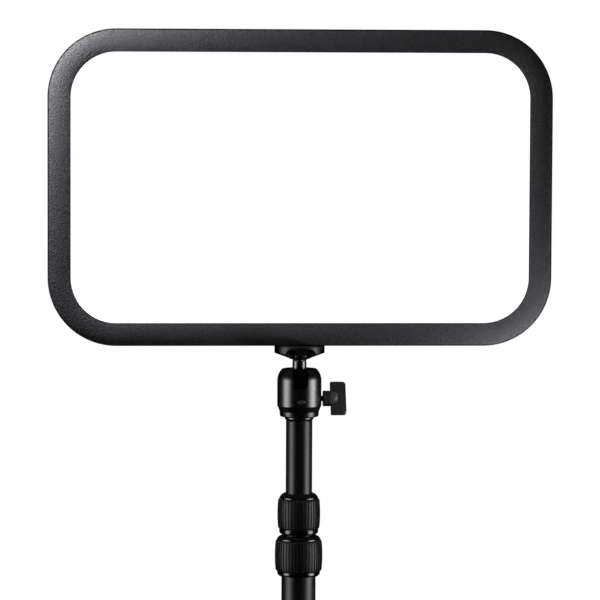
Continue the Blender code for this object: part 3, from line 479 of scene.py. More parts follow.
def lathe(name, profile, place=None, segments=96, steps=4, relief=None, rows=None):
    """Turn a profile of (radius, height, corner radius) about its own Z axis.

    relief(radius, height, angle) may change a point's radius. Rows of (radius, height, edge) can be
    given in the profile's place.
    """
    closed = (rows or profile)[0][0] > 0.0
    line = rows or round_corners(profile, closed, steps)
    shape = new_shape()
    edge = shape.verts.layers.float["edge"]
    rings = []
    for radius, height, wear in line:
        if radius < 1e-7:
            ring = [shape.verts.new((0.0, 0.0, height))]
        else:
            ring = []
            for step in range(segments):
                angle = 2 * pi * step / segments
                reach = relief(radius, height, angle) if relief else radius
                ring.append(shape.verts.new((reach * cos(angle), reach * sin(angle), height)))
        for corner in ring:
            corner[edge] = wear
        rings.append(ring)
    pairs = list(zip(rings, rings[1:]))
    if closed:
        pairs.append((rings[-1], rings[0]))
    for upper, lower in pairs:
        for step in range(segments):
            after = (step + 1) % segments
            if len(upper) == 1:
                shape.faces.new((upper[0], lower[step], lower[after]))
            elif len(lower) == 1:
                shape.faces.new((upper[step], lower[0], upper[after]))
            else:
                shape.faces.new((upper[step], lower[step], lower[after], upper[after]))
    return settle(name, shape, place)


def rounded_rectangle(width, height, radius, corner_steps, centre=(0.0, 0.0)):
    """Outline of a rectangle with round corners, anticlockwise."""
    points = []
    for quarter, (side_x, side_y) in enumerate(((1, 1), (-1, 1), (-1, -1), (1, -1))):
        middle_x = centre[0] + side_x * (width / 2 - radius)
        middle_y = centre[1] + side_y * (height / 2 - radius)
        for step in range(corner_steps + 1):
            angle = (quarter + step / corner_steps) * pi / 2
            points.append((middle_x + radius * cos(angle), middle_y + radius * sin(angle)))
    return points


def loops_to_shape(loops, closed):
    """Join loops of (points, wear) into one surface, as a ring or with both ends capped."""
    shape = new_shape()
    edge = shape.verts.layers.float["edge"]
    rows = []
    for points, wear in loops:
        row = [shape.verts.new(point) for point in points]
        for corner in row:
            corner[edge] = wear
        rows.append(row)
    last = len(rows) if closed else len(rows) - 1
    for index in range(last):
        row = rows[index]
        other = rows[(index + 1) % len(rows)]
        for step in range(len(row)):
            after = (step + 1) % len(row)
            shape.faces.new((row[step], row[after], other[after], other[step]))
    if not closed:
        shape.faces.new(rows[0])
        shape.faces.new(rows[-1])
    return shape


def frame_shape(name, size, corner, section, closed, middle_z, corner_steps=24, steps=5):
    """Sweep a section of (inset, y, corner radius) round a rounded rectangle parallel to the panel."""
    loops = []
    for inset, y, wear in round_corners(section, closed, steps):
        radius = max(corner - inset, 0.0004)
        outline = rounded_rectangle(size[0] - 2 * inset, size[1] - 2 * inset, radius, corner_steps)
        loops.append(([(x, y, z + middle_z) for x, z in outline], wear))
    return settle(name, loops_to_shape(loops, closed))


def inset_outline(outline, amount):
    """Move an anticlockwise outline inwards by a small amount."""
    count = len(outline)
    moved = []
    for index, here in enumerate(outline):
        spot = Vector(here)
        before = (spot - Vector(outline[index - 1])).normalized()
        after = (Vector(outline[(index + 1) % count]) - spot).normalized()
        mitre = Vector((-before.y - after.y, before.x + after.x))
        mitre.normalize()
        lean = max(0.35, mitre.dot(Vector((-before.y, before.x))))
        moved.append(tuple(spot + mitre * (amount / lean)))
    return moved


def plate(name, outline, low, high, radius, place=None, steps=4):
    """A slab between two heights with its rims rounded; the outline runs anticlockwise."""
    loops = []
    for top, level in ((False, low), (True, high)):
        sign = -1.0 if top else 1.0
        ring = []
        for step in range(steps + 1):
            angle = pi / 2 * step / steps
            inset = radius * (1.0 - sin(angle))
            height = level + sign * radius * (1.0 - cos(angle))
            # The edge value marks the rounding; finishes use it for wear and, on the coats, for painted
            # shade.
            wear = 1.0 - abs(2.0 * step / steps - 1.0)
            ring.append(([(x, y, height) for x, y in inset_outline(outline, inset)], wear))
        loops += ring[::-1] if top else ring
    return settle(name, loops_to_shape(loops, False), place)


def cutter(outline, low, high, place=None):
    """A plain prism to cut with, between two levels in millimetres."""
    rows = [([(x, y, level * MM) for x, y in outline], 0.0) for level in (low, high)]
    return settle("cutter", loops_to_shape(rows, False), place)


def circle(radius, steps=32):
    """Outline of a circle, anticlockwise, with its radius in millimetres."""
    angles = [2 * pi * step / steps for step in range(steps)]
    return [(radius * MM * cos(angle), radius * MM * sin(angle)) for angle in angles]


def carve(thing, tools, operation="DIFFERENCE"):
    """Cut tools out of a piece, or join them on, for good."""
    for tool in tools:
        step = thing.modifiers.new("Carve", "BOOLEAN")
        step.operation = operation
        step.solver = "EXACT"
        step.object = tool
    bpy.context.view_layer.update()
    result = thing.evaluated_get(bpy.context.evaluated_depsgraph_get())
    mesh = bpy.data.meshes.new_from_object(result)
    mesh.name = thing.name
    thing.modifiers.clear()
    thing.data = mesh
    for tool in tools:
        bpy.data.objects.remove(tool, do_unlink=True)
    for face in mesh.polygons:
        face.use_smooth = True
    return thing


def finish(thing, body, slot, nodes=(), soften=0.0, material=None):
    """Give a piece its finish, its body and the CAD nodes that it stands for."""
    if soften > 0.0:
        bevel = thing.modifiers.new("Soften", "BEVEL")
        bevel.width = soften
        bevel.segments = 2
        bevel.limit_method = "ANGLE"
        bevel.angle_limit = BEVEL_ANGLE
        bevel.use_clamp_overlap = True
    thing.data.set_sharp_from_angle(angle=SHARP_ANGLE)
    shade = thing.modifiers.new("Normals", "WEIGHTED_NORMAL")
    shade.keep_sharp = True
    thing.data.materials.clear()
    thing.data.materials.append(material or FINISHES[slot])
    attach(thing, body)
    if nodes:
        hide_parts(*nodes)
    return thing


def at(x=0.0, y=0.0, z=0.0, turn=None):
    """A place in the world, with a turn first."""
    return Matrix.Translation((x, y, z)) @ (turn or Matrix())


def mm(points):
    """Profile points from millimetres."""
    return [tuple(part * MM for part in point) for point in points]


# -------------------- the panel

def build_panel():
    """Front frame with its lip and the rear cover."""
    lip = PANEL_FRONT + 2.0 * MM
    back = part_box("front_bezel")[1].y
    crown = 0.8 * MM
    section = [(BORDER, lip, 0.2 * MM), (BORDER, PANEL_FRONT + crown, 0.6 * MM)]
    for step in range(1, 11):
        across = step / 12
        section.append((BORDER * (1.0 - across), PANEL_FRONT + crown * (2.0 * across - 1.0) ** 2, 0.0))
    section += [
        (0.0, PANEL_FRONT + crown, 1.35 * MM),
        (0.0, back, 0.3 * MM),
        (2.2 * MM, back, 0.2 * MM),
        (2.2 * MM, lip, 0.4 * MM),
    ]
    bezel = frame_shape("bezel_frame", PANEL_SIZE, PANEL_CORNER, section, True, PANEL_MIDDLE)
    carve(bezel, [cutter(circle(6.3), -6.0, 6.0, at(z=PANEL_LOW.z))])
    finish(bezel, "panel", "black_coat", ["front_bezel"], material=FRAME)

    front = PANEL_BACK - 2.4 * MM
    section = [(0.0, front, 0.0), (0.0, PANEL_BACK, 1.3 * MM), (40.0 * MM, PANEL_BACK, 0.0)]
    cover = frame_shape("rear_cover", PANEL_SIZE, PANEL_CORNER, section, False, PANEL_MIDDLE)
    lead = rounded_rectangle(50.0 * MM, 26.0 * MM, 4.0 * MM, 4)
    tools = [cutter(lead, -4.0, 4.0, at(0.0, PANEL_BACK, REAR_MIDDLE, FACING_BACK))]
    for x, z in screw_spots():
        tools.append(cutter(circle(1.8, 20), -4.0, 4.0, at(x, PANEL_BACK, z, FACING_BACK)))
    carve(cover, tools)
    finish(cover, "panel", "black_coat", ["back_cover"])


def screw_spots():
    """Where the four screws of the control housing stand, as (x, z)."""
    spots = []
    for index in range(4):
        low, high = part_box(f"cover_screw_{index + 1}")
        spots.append(((low.x + high.x) / 2, (low.z + high.z) / 2))
    return spots


def build_rear_housing():
    """Control housing with its openings, and its screws."""
    width = REAR_HIGH.x - REAR_LOW.x
    height = REAR_HIGH.z - REAR_LOW.z
    front = REAR_LOW.y
    back = REAR_HIGH.y
    section = [
        (20.0 * MM, back - 2.0 * MM, 0.0),
        (2.0 * MM, back - 2.0 * MM, 1.0 * MM),
        (2.0 * MM, front, 0.3 * MM),
        (0.0, front, 0.3 * MM),
        (0.35 * MM, back, 3.4 * MM),
        (20.0 * MM, back, 0.0),
    ]
    shell = frame_shape("control_shell", (width, height), 12.0 * MM, section, False, REAR_MIDDLE, 12, 7)
    tools = []
    for name in ("brightness_dial", "temperature_dial"):
        low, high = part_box(name)
        spot = at((low.x + high.x) / 2, back, (low.z + high.z) / 2, FACING_BACK)
        tools.append(cutter(circle(3.5), -5.0, 4.0, spot))
    low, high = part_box("power_button")
    spot = at(0.0, back, (low.z + high.z) / 2, FACING_BACK)
    tools.append(cutter(circle(6.1, 48), -5.0, 4.0, spot))
    low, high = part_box("display_window")
    pane = rounded_rectangle(high.x - low.x + 0.6 * MM, high.z - low.z + 0.6 * MM, 2.3 * MM, 6)
    tools.append(cutter(pane, -5.0, 4.0, at(0.0, back, (low.z + high.z) / 2, FACING_BACK)))
    for x, z in screw_spots():
        tools.append(cutter(circle(1.8, 24), -5.0, 4.0, at(x, back, z, FACING_BACK)))
    low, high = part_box("dc_jack")
    mouth = rounded_rectangle(9.6 * MM, 9.6 * MM, 1.0 * MM, 4)
    spot = at((low.x + high.x) / 2, (low.y + high.y) / 2, REAR_LOW.z)
    tools.append(cutter(mouth, -3.0, 3.0, spot))
    for index in range(9):
        slot = rounded_rectangle(3.0 * MM, 13.0 * MM, 1.45 * MM, 6)
        spot = at((index - 4) * 9.0 * MM, back, REAR_HIGH.z - 13.5 * MM, FACING_BACK)
        tools.append(cutter(slot, -5.0, 4.0, spot))
    carve(shell, tools)
    finish(shell, "panel", "black_plastic", ["rear_housing"], 0.25 * MM)

    profile = mm([
        (0.0, 1.55, 0.0), (2.0, 1.3, 1.2), (2.7, 0.5, 0.3), (2.7, 0.0, 0.15),
        (1.45, 0.0, 0.1), (1.45, -15.5, 0.2), (0.0, -15.5, 0.0),
    ])
    for index, (x, z) in enumerate(screw_spots()):
        spot = at(x, back + 0.1 * MM, z, FACING_BACK)
        screw = lathe(f"housing_screw_{index + 1}", profile, spot, 40)
        tools = []
        for turn in (0.3 + index, 0.3 + index + pi / 2):
            blade = rounded_rectangle(3.0 * MM, 0.62 * MM, 0.12 * MM, 2)
            tools.append(cutter(blade, 0.45, 3.0, spot @ Matrix.Rotation(turn, 4, "Z")))
        carve(screw, tools)
        finish(screw, "panel", "dark_steel", [f"cover_screw_{index + 1}"], 0.05 * MM)


def build_controls():
    """Two knurled dials with their scales, the power button and the display window."""
    back = REAR_HIGH.y

    def knurl(radius, height, angle):
        if radius < 11.3 * MM or not 0.9 * MM < height < 5.4 * MM:
            return radius
        return radius - 0.45 * MM * (0.5 + 0.5 * cos(44 * angle)) ** 1.5

    profile = mm([
        (0.0, 5.6, 0.0), (5.6, 5.7, 2.0), (8.2, 6.8, 0.9), (11.2, 6.8, 0.7), (12.0, 5.9, 0.5),
        (12.0, 5.3, 0.0), (12.0, 1.0, 0.0), (12.0, 0.4, 0.25), (2.8, 0.4, 0.2), (2.8, -5.5, 0.2),
        (0.0, -5.5, 0.0),
    ])
    for name, body in (("brightness", "brightness_dial"), ("temperature", "temperature_dial")):
        low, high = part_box(body)
        spot = at((low.x + high.x) / 2, back, (low.z + high.z) / 2, FACING_BACK)
        dial = lathe(f"{name}_knurled_dial", profile, spot, 352, 4, knurl)
        finish(dial, body, "black_plastic", [body])
        mark = rounded_rectangle(0.9 * MM, 3.0 * MM, 0.4 * MM, 4, (0.0, 9.7 * MM))
        index = plate(f"{name}_dial_index", mark, 6.76 * MM, 6.86 * MM, 0.03 * MM, spot, 2)
        trim_to_back(index)
        finish(index, body, "white_plastic", material=PRINT)
        scale = dial_scale(f"{name}_scale", spot @ Matrix.Rotation(pi, 4, "Z"))
        finish(scale, "panel", "white_plastic", material=PRINT)

    low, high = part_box("power_button")
    z = (low.z + high.z) / 2
    profile = mm([
        (0.0, 3.35, 0.0), (3.0, 3.45, 1.5), (4.9, 3.9, 0.6), (5.8, 3.3, 0.5), (5.8, 0.8, 0.2),
        (6.6, 0.8, 0.1), (6.6, 0.0, 0.1), (0.0, 0.0, 0.0),
    ])
    button = lathe("power_push_button", profile, at(0.0, low.y, z, FACING_BACK), 80)
    finish(button, "power_button", "button", ["power_button"])
    low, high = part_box("display_window")
    pane = rounded_rectangle(high.x - low.x, high.z - low.z, 2.0 * MM, 8)
    centre = at(0.0, 0.0, (low.z + high.z) / 2, FACING_FRONT)
    window = plate("display_pane", pane, -high.y, -low.y, 0.35 * MM, centre)
    finish(window, "panel", "window", ["display_window"])


def dial_scale(name, place):
    """Eleven printed strokes round a dial, the first, middle and last ones longer."""
    shape = new_shape()
    for step in range(11):
        length, width = (1.9, 0.55) if step % 5 else (2.8, 0.7)
        tick = rounded_rectangle(width * MM, length * MM, 0.2 * MM, 3, (0.0, (13.4 + length / 2) * MM))
        turn = Matrix.Rotation(radians(-150.0 + 30.0 * step), 3, "Z")
        rows = []
        for level in (-0.02 * MM, 0.05 * MM):
            rows.append([shape.verts.new(turn @ Vector((a, b, level))) for a, b in tick])
        for here in range(len(tick)):
            after = (here + 1) % len(tick)
            shape.faces.new((rows[0][here], rows[0][after], rows[1][after], rows[1][here]))
        shape.faces.new(rows[0])
        shape.faces.new(rows[1])
    return settle(name, shape, place)


def trim_to_back(thing):
    """Keep a printed mark inside the CAD's depth."""
    limit = cad_box[1].y
    for corner in thing.data.vertices:
        corner.co.y = min(corner.co.y, limit)


# -------------------- the ball head

def build_platform():
    """Platform with eight scoops round its underside."""
    profile = mm([
        (18.6, 0.6, 0.15), (19.0, 0.2, 0.2), (19.0, -4.75, 0.35), (8.2, -8.8, 0.3), (7.7, -9.3, 0.3),
        (6.2, -9.7, 0.25), (5.35, -9.8, 0.1), (5.35, -10.5, 0.1), (3.3, -10.5, 0.1),
        (3.3, -0.4, 0.1), (18.1, -0.4, 0.1), (18.1, 0.6, 0.1),
    ])
    platform = lathe("scooped_platform", profile, at(z=HEAD_LEVEL), 144)
    tools = []
    for index in range(8):
        angle = radians(22.5 + 45.0 * index)
        spot = at(20.0 * MM * cos(angle), 20.0 * MM * sin(angle), HEAD_LEVEL - 7.0 * MM)
        turn = Matrix.Rotation(angle, 4, "Z") @ Matrix.Rotation(pi / 2, 4, "Y")
        turn = turn @ Matrix.Diagonal((1.25, 1.12, 1.0, 1.0))
        rows = []
        for step in range(17):
            part = pi * step / 16
            rows.append((4.8 * MM * sin(part) if 0 < step < 16 else 0.0, 8.5 * MM * cos(part), 0.0))
        tools.append(lathe("scoop", None, spot @ turn, 48, rows=rows))
    carve(platform, tools)
    finish(platform, "panel", "black_lacquer", ["platform"], 0.18 * MM, SATIN)


def build_ball():
    """Ball and stem in one turned piece."""
    profile = [(0.0, 10.0, 0.0), (3.3, 10.0, 0.2), (3.3, 16.2, 0.25), (5.35, 16.2, 0.35), (5.35, 9.035, 0.8)]
    for step in range(1, 25):
        angle = radians(59.36 - 139.36 * step / 24)
        profile.append((10.5 * cos(angle), 10.5 * sin(angle), 0.0))
    profile.append((0.0, -10.34, 0.0))
    ball = lathe("polished_ball_and_stem", mm(profile), at(z=HEAD_LEVEL - BALL_DROP), 96)
    finish(ball, "ball", "black_lacquer", ["ball_stem"])


def build_head_housing():
    """Housing with its drop notch, the set screw, and the plug that joins it to the tube."""
    profile = [(10.05, -16.8, 0.25), (12.6, -16.84, 0.4)]
    for step in range(22):
        rise = 1.05 * (1.0 - step / 21)
        profile.append((16.75 - 3.2 * rise**2.8, -27.5 + 10.0 * rise, 0.0))
    profile += [
        (16.75, -45.0, 0.5), (16.2, -45.8, 0.5), (14.95, -49.2, 1.5), (14.6, -52.6, 0.5), (13.8, -53.2, 0.2),
        (10.9, -53.2, 0.2), (10.9, -27.0, 0.0),
    ]
    for step in range(1, 7):
        angle = radians(37.0 * step / 6)
        profile.append((10.85 * cos(angle), 10.85 * sin(angle) - 27.0, 0.0))
    housing = lathe("head_housing", mm(profile), at(z=HEAD_LEVEL), 144, 6)
    half_width = 5.7 * MM
    notch = [(half_width, 16.0 * MM), (-half_width, 16.0 * MM)]
    for step in range(21):
        angle = pi + pi * step / 20
        notch.append((half_width * cos(angle), half_width * sin(angle)))
    grub_axis = at(GRUB_ASIDE, 0.0, HEAD_LEVEL - GRUB_DROP, FACING_FRONT)
    tools = [
        cutter(notch, 0.0, 24.0, at(0.0, 0.0, HEAD_LEVEL - BALL_DROP, FACING_FRONT)),
        cutter(circle(2.6), 8.0, 22.0, at(z=HEAD_LEVEL - KNOB_DROP, turn=ALONG_X)),
        cutter(circle(2.25), 8.0, 22.0, grub_axis),
    ]
    sink = mm([
        (0.0, 15.0, 0.0), (2.2, 15.0, 0.0), (2.2, 16.15, 0.0), (3.7, 17.65, 0.0), (3.7, 19.0, 0.0),
        (0.0, 19.0, 0.0),
    ])
    tools.append(lathe("countersink", sink, grub_axis, 40))
    carve(housing, tools)
    finish(housing, "upper_section", "black_lacquer", ["ball_housing"], 0.3 * MM)

    profile = mm([(0.0, 0.0, 0.0), (1.9, 0.0, 0.25), (1.9, -4.4, 0.3), (0.0, -4.4, 0.0)])
    spot = at(GRUB_ASIDE, -16.1 * MM, HEAD_LEVEL - GRUB_DROP, FACING_FRONT)
    grub = lathe("socket_grub_screw", profile, spot, 40)
    carve(grub, [cutter(circle(1.05, 6), -2.0, 1.0, spot)])
    finish(grub, "upper_section", "bright_steel", ["set_screw"], 0.06 * MM)

    profile = mm([
        (0.0, -46.6, 0.0), (10.5, -46.6, 0.2), (10.5, -53.5, 0.0), (11.0, -53.7, 0.2), (11.0, -54.6, 0.35),
        (10.1, -56.0, 0.3), (8.5, -56.0, 0.1), (8.5, -73.0, 0.4), (0.0, -73.0, 0.0),
    ])
    plug = lathe("neck_ring", profile, at(z=HEAD_LEVEL), 96)
    finish(plug, "upper_section", "black_lacquer", ["base_plug"])


def build_wing_knob():
    """Wing knob and the black screw that it turns."""
    place = at(z=HEAD_LEVEL - KNOB_DROP, turn=ALONG_X)
    profile = mm([
        (0.0, 29.6, 0.0), (2.7, 29.2, 2.5), (5.0, 27.2, 3.0), (5.9, 23.6, 3.0), (5.9, 17.9, 0.35),
        (2.4, 17.9, 0.15), (2.4, 23.4, 0.2), (0.0, 23.4, 0.0),
    ])
    boss = lathe("wing_knob", profile, place, 72, 6)
    corners = mm([(23.6, -13.4, 0.8), (35.4, -13.4, 2.5), (35.4, 13.4, 2.5), (23.6, 13.4, 0.8)])
    outline = [(a, b) for a, b, _ in round_corners(corners, True, 8)]
    leaning = at(z=HEAD_LEVEL - KNOB_DROP, turn=Matrix.Rotation(KNOB_LEAN, 4, "X") @ FACING_FRONT)
    blade = plate("blade", outline, -2.4 * MM, 2.4 * MM, 0.7 * MM, leaning, 6)
    carve(boss, [blade], "UNION")
    finish(boss, "lock_knob", "black_plastic", ["lock_knob"])
    profile = mm([(0.0, 23.1, 0.0), (2.1, 23.1, 0.2), (2.1, 7.0, 0.4), (1.0, 4.4, 0.3), (0.0, 4.4, 0.0)])
    screw = lathe("wing_knob_screw", profile, place, 40)
    finish(screw, "lock_knob", "dark_steel", ["lock_screw"])


# -------------------- the pole

def build_tubes():
    """The three tubes."""
    for node, name, body, radius in (
        ("upper_tube", "upper_tube_satin", "upper_section", 10.0),
        ("middle_tube", "middle_tube_satin", "middle_section", 11.5),
        ("lower_tube", "lower_tube_satin", "clamp_and_lower_tube", 13.0),
    ):
        low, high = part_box(node)
        top, foot = high.z / MM, low.z / MM
        inner = radius - 1.2
        levels = [(radius, top, 0.3), (radius, foot, 0.3), (inner, foot, 0.2), (inner, top, 0.2)]
        tube = lathe(name, mm(levels), None, 96)
        finish(tube, body, "black_tube", [node])


def grip_rows(top, foot, outer, barrel, inner):
    """Rows of a barrel-shaped sleeve, from its top rim down and back up inside."""
    middle = (top + foot) / 2
    half = (top - foot) / 2
    rows = [(inner, top - 0.1, 0.0), (inner + 0.1, top, 0.0)]
    count = 30
    for step in range(count + 1):
        height = top - (top - foot) * step / count
        offset = (height - middle) / half
        rim = min(height - foot, top - height)
        cut = 0.0
        if rim < 2.0:
            cut = 0.9 * (1.0 - sqrt(max(0.0, 1.0 - (1.0 - rim / 2.0) ** 2)))
        rows.append((outer - barrel * offset**2 - cut, height, 0.0))
    rows += [(inner + 0.1, foot, 0.0), (inner, foot + 0.1, 0.0)]
    return mm(rows)


def build_collar(prefix, body, shell, grip, ribs):
    """A twist-lock collar with its ribbed sleeve."""
    collar = lathe(f"{prefix}_collar_shell", mm(shell), at(z=HEAD_LEVEL), 120, 6)
    finish(collar, body, "black_lacquer", [f"{prefix}_collar"], material=GLOSS)
    top, foot, outer, barrel, inner = grip
    depth = 0.62 * MM

    def rib(radius, height, angle):
        if radius < (inner + 0.5) * MM:
            return radius
        rim = min(height - foot * MM, top * MM - height)
        fade = min(1.0, max(0.0, (rim - 0.25 * MM) / (1.1 * MM)))
        wave = 0.5 + 0.5 * cos(ribs * angle)
        groove = min(1.0, max(0.0, (0.60 - wave) / 0.45))
        return radius - depth * fade * groove**2 * (3.0 - 2.0 * groove)

    rows = grip_rows(top, foot, outer, barrel, inner)
    sleeve = lathe(f"{prefix}_ribbed_sleeve", None, at(z=HEAD_LEVEL), ribs * 14, relief=rib, rows=rows)
    finish(sleeve, body, "rubber", [f"{prefix}_grip"])


def build_collars():
    """Both twist locks."""
    shell = [
        (10.4, -111.6, 0.2), (11.6, -111.65, 0.5), (13.2, -112.7, 1.2), (14.55, -114.5, 0.7),
        (14.6, -115.2, 0.15), (13.7, -115.2, 0.0), (13.7, -139.0, 0.0), (14.95, -139.0, 0.15),
        (14.7, -141.6, 0.7), (13.1, -142.9, 0.3), (12.8, -142.9, 0.1), (12.8, -113.4, 0.0),
        (10.4, -113.4, 0.15),
    ]
    build_collar("upper", "upper_lock", shell, (-115.5, -138.7, 16.25, 0.6, 14.0), 40)
    shell = [
        (11.9, -143.5, 0.2), (13.0, -143.55, 0.4), (15.3, -144.8, 1.2), (16.4, -146.0, 0.6),
        (16.5, -146.7, 0.15), (15.6, -146.7, 0.0), (15.6, -171.3, 0.0), (16.3, -171.3, 0.15),
        (16.15, -173.2, 0.7), (14.8, -174.6, 0.3), (14.4, -174.6, 0.1), (14.4, -145.6, 0.0),
        (11.9, -145.6, 0.15),
    ]
    build_collar("lower", "lower_lock", shell, (-147.0, -171.0, 18.1, 0.65, 15.9), 45)


# -------------------- the desk clamp

def build_socket():
    """Socket that carries the pole."""
    profile = mm([
        (13.3, 46.0, 0.3), (16.2, 46.0, 0.6), (17.0, 45.0, 0.6), (17.6, 20.0, 3.0), (21.6, 15.2, 1.2),
        (22.0, 10.3, 0.3), (4.3, 10.3, 0.1), (4.3, 18.0, 0.2), (13.3, 18.0, 0.2),
    ])
    socket = lathe("pole_socket_casting", profile, None, 120, 6)
    finish(socket, "clamp_and_lower_tube", "clamp_paint", ["pole_socket"])


def bend(centre, radius, start, end, count):
    """Points of a rounded corner, in millimetres and degrees."""
    spots = []
    for step in range(count + 1):
        angle = radians(start + (end - start) * step / count)
        spots.append((centre[0] + radius * cos(angle), centre[1] + radius * sin(angle)))
    return spots


def build_clamp_frame():
    """C-shaped clamp body with a stiffening groove on each side."""
    outline = bend((16.0, 3.0), 7.0, 0.0, 90.0, 10)
    outline += bend((-48.0, 6.0), 4.0, 90.0, 180.0, 8)
    outline += bend((-50.0, 4.0), 2.0, 180.0, 270.0, 5)
    outline += bend((9.0, -2.0), 4.0, 90.0, 0.0, 8)
    outline += bend((9.0, -68.0), 4.0, 0.0, -90.0, 8)
    outline += bend((-32.0, -76.0), 4.0, 90.0, 180.0, 8)
    outline += bend((-32.0, -80.0), 4.0, 180.0, 270.0, 8)
    outline += bend((16.0, -77.0), 7.0, 270.0, 360.0, 10)
    outline = [(a * MM, b * MM) for a, b in outline]
    clean = [outline[0]]
    for spot in outline[1:]:
        if (Vector(spot) - Vector(clean[-1])).length > 0.00002:
            clean.append(spot)
    stand = Matrix.Rotation(pi / 2, 4, "Z") @ Matrix.Rotation(pi / 2, 4, "X")
    body = plate("clamp_casting", clean, -25.0 * MM, 25.0 * MM, 1.2 * MM, stand, 5)
    tools = [
        cutter(circle(4.2, 40), -2.0, 12.0),
        cutter(circle(6.9, 40), -2.0, 6.9),
        cutter(circle(6.3, 40), -90.0, -66.0, at(y=SPINDLE_Y)),
    ]
    groove = rounded_rectangle(4.4 * MM, 58.0 * MM, 2.2 * MM, 8, (18.0 * MM, -37.0 * MM))
    for low, high in ((-26.0, -23.8), (23.8, 26.0)):
        tools.append(cutter(groove, low, high, stand))
    carve(body, tools)
    finish(body, "clamp_and_lower_tube", "clamp_paint", ["clamp_frame"], 0.35 * MM)


def build_pads():
    """Jaw pad and the pressure plate with its pad, both pads grooved."""
    low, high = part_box("jaw_pad")
    outline = rounded_rectangle(high.x - low.x, high.y - low.y, 3.0 * MM, 8)
    pad = plate("jaw_soft_pad", outline, low.z, high.z, 0.3 * MM, at(0.0, (low.y + high.y) / 2, 0.0))
    finish(pad, "clamp_and_lower_tube", "rubber", ["jaw_pad"])
    centre = at(0.0, SPINDLE_Y, PRESS_TOP)
    profile = mm([
        (0.0, -1.7, 0.0), (21.2, -1.7, 0.3), (22.0, -2.6, 0.4), (22.0, -5.2, 0.5), (20.6, -6.0, 0.8),
        (9.2, -6.5, 0.8), (9.0, -10.0, 0.5), (5.3, -10.0, 0.2), (5.3, -7.0, 0.1), (0.0, -7.0, 0.0),
    ])
    dish = lathe("pressure_dish", profile, centre, 96, 5)
    finish(dish, "pressure_pad", "dark_steel", ["pressure_plate"])
    profile = mm([(0.0, 0.0, 0.0), (20.6, 0.0, 0.3), (21.0, -0.4, 0.2), (21.0, -1.4, 0.1), (0.0, -1.4, 0.0)])
    pad = lathe("pressure_soft_pad", profile, centre, 96)
    finish(pad, "pressure_pad", "rubber", ["plate_pad"])


def build_spindle():
    """Clamp spindle with its 2 mm trapezoidal thread, and the lobed knob."""
    centre = at(0.0, SPINDLE_Y, PRESS_TOP)
    pitch = 2.0 * MM
    top, foot = -10.6 * MM, -90.3 * MM

    def thread(radius, height, angle):
        if radius < 5.0 * MM:
            return radius
        turn = (height / pitch - angle / (2 * pi)) % 1.0
        wave = abs(turn - 0.5) * 2.0
        crest = min(1.0, max(0.0, (wave - 0.28) / 0.38))
        fade = min(1.0, max(0.0, min(top - height, height - foot) / (1.2 * MM)))
        return radius - 0.75 * MM * (1.0 - crest) * fade - 0.5 * MM * (1.0 - fade)

    rows = [(0.0, -7.3 * MM, 0.0), (4.0 * MM, -7.3 * MM, 0.0), (4.6 * MM, -7.6 * MM, 0.0)]
    rows += [(4.9 * MM, -8.0 * MM, 0.0), (4.9 * MM, -10.4 * MM, 0.0)]
    count = 400
    for step in range(count + 1):
        rows.append((5.9 * MM, top + (foot - top) * step / count, 0.0))
    rows += [(4.9 * MM, -90.5 * MM, 0.0), (0.0, -90.5 * MM, 0.0)]
    spindle = lathe("threaded_spindle", None, centre, 48, relief=thread, rows=rows)
    finish(spindle, "clamp_screw", "bright_steel", ["clamp_spindle"])

    outline = []
    for step in range(120):
        angle = 2 * pi * step / 120
        reach = (17.0 + 2.0 * cos(5 * angle)) * MM
        outline.append((reach * cos(angle), reach * sin(angle)))
    place = at(0.0, SPINDLE_Y, -125.0 * MM)
    knob = plate("lobed_knob", outline, 0.0, 17.0 * MM, 2.6 * MM, place, 7)
    tools = [cutter(circle(6.2, 48), 4.0, 24.0, place)]
    dish = mm([(0.0, 1.4, 0.0), (10.5, 1.0, 2.0), (11.5, -3.0, 0.0), (0.0, -3.0, 0.0)])
    tools.append(lathe("dish", dish, place, 64))
    carve(knob, tools)
    finish(knob, "clamp_screw", "black_plastic", ["clamp_knob"], 0.4 * MM)


# -------------------- CAD nodes that stay

def paint_cad_nodes():
    """Give every CAD node the finish of its slot."""
    for part in frame["record"]["subparts"]:
        node = frame["nodes"][part["node"]]
        node.data.materials.clear()
        node.data.materials.append(FINISHES[part["material_slot"]])
    module = frame["nodes"]["display_module"]
    module.data.materials.clear()
    module.data.materials.append(DISPLAY)


# -------------------- studio

def area_light(name, spot, target, size, power, fill):
    """A soft rectangular light. A fill never shows in reflections, a strip only shows there."""
    lamp = bpy.data.lights.new(name, "AREA")
    lamp.shape = "RECTANGLE"
    lamp.size, lamp.size_y = size
    lamp.energy = power
    lamp.spread = radians(180.0 if fill else 50.0)
    thing = put(name, lamp)
    thing.visible_camera = False
    thing.visible_glossy = not fill
    thing.visible_diffuse = fill
    thing.location = spot
    thing.rotation_euler = (Vector(target) - Vector(spot)).to_track_quat("-Z", "Y").to_euler()


def kicker(name, spot, power):
    """A small light close to the panel that rakes across its front."""
    lamp = bpy.data.lights.new(name, "POINT")
    lamp.energy = power
    lamp.shadow_soft_size = 12.0 * MM
    thing = put(name, lamp)
    thing.visible_camera = False
    thing.visible_glossy = False
    thing.location = spot


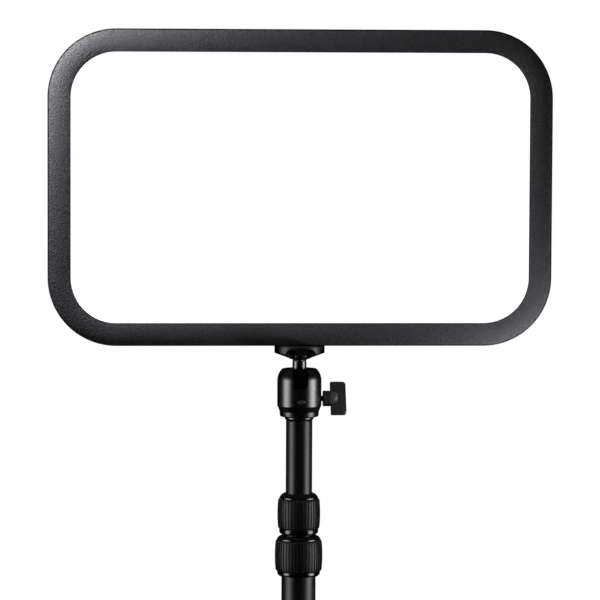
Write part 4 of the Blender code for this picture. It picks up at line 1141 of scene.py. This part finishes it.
def build_surround():
    """A surround that is white to the camera and dim to everything else."""
    world = bpy.data.worlds.new("surround")
    bpy.context.scene.world = world
    world.use_nodes = True
    tree = world.node_tree
    dim = tree.nodes["Background"]
    dim.inputs["Color"].default_value = (0.9, 0.93, 1.0, 1.0)
    dim.inputs["Strength"].default_value = 0.008
    white = tree.nodes.new("ShaderNodeBackground")
    white.inputs["Color"].default_value = (1.0, 1.0, 1.0, 1.0)
    path = tree.nodes.new("ShaderNodeLightPath")
    choose = tree.nodes.new("ShaderNodeMixShader")
    tree.links.new(path.outputs["Is Camera Ray"], choose.inputs[0])
    tree.links.new(dim.outputs[0], choose.inputs[1])
    tree.links.new(white.outputs[0], choose.inputs[2])
    tree.links.new(choose.outputs[0], tree.nodes["World Output"].inputs["Surface"])
    bpy.context.scene.view_settings.view_transform = "Standard"


def build_lights():
    """Strips that the pole reflects, raking lights at two panel corners, and fills for matt surfaces."""
    pole = (0.0, 0.0, 0.20)
    area_light("strip_left", (-1.04, -0.30, 0.20), pole, (0.98, 0.72), 1.25, False)
    area_light("strip_right", (1.03, -0.335, 0.20), pole, (1.02, 0.72), 1.60, False)
    kicker("kicker_high", (-0.283, PANEL_FRONT - 0.031, 0.797), 33.0)
    kicker("kicker_low", (0.208, PANEL_FRONT - 0.036, 0.416), 2.9)
    area_light("fill_top", (0.2, -0.45, 1.2), (0.05, 0.0, 0.6), (0.5, 0.5), 1.1, True)
    area_light("fill_back_left", (-1.1, 1.5, 1.2), (0.0, 0.0, 0.42), (1.8, 1.8), 60.0, True)
    area_light("fill_back_right", (1.3, 1.2, 0.9), (0.0, 0.0, 0.35), (1.8, 1.8), 40.0, True)


def build_floor():
    """Pale round floor under the clamp that fades into the surround."""
    rows = [(radius, 0.0, 0.0) for radius in (0.0, 0.4, 0.8, 1.2, 1.7, 2.3)]
    floor = lathe("studio_floor", None, at(z=cad_box[0].z - 33.0 * MM), rows=rows)
    graph = Graph("pale_floor")
    graph.constants(Base_Color=(0.30, 0.30, 0.30, 1.0), Roughness=0.8, Emission_Strength=0.80)
    graph.constants(Emission_Color=(0.94, 0.95, 0.96, 1.0))
    parts = graph.node("ShaderNodeVectorMath", operation="LENGTH")
    graph.link(graph.place, parts.inputs[0])
    graph.link(graph.span(parts.outputs["Value"], 1.2, 2.25, 1.0, 0.0), graph.shader.inputs["Alpha"])
    floor.data.materials.append(graph.material)
    floor.visible_glossy = False
    floor.visible_diffuse = False


build_panel()
build_rear_housing()
build_controls()
build_platform()
build_ball()
build_head_housing()
build_wing_knob()
build_tubes()
build_collars()
build_socket()
build_clamp_frame()
build_pads()
build_spindle()
paint_cad_nodes()
build_surround()
build_lights()
build_floor()
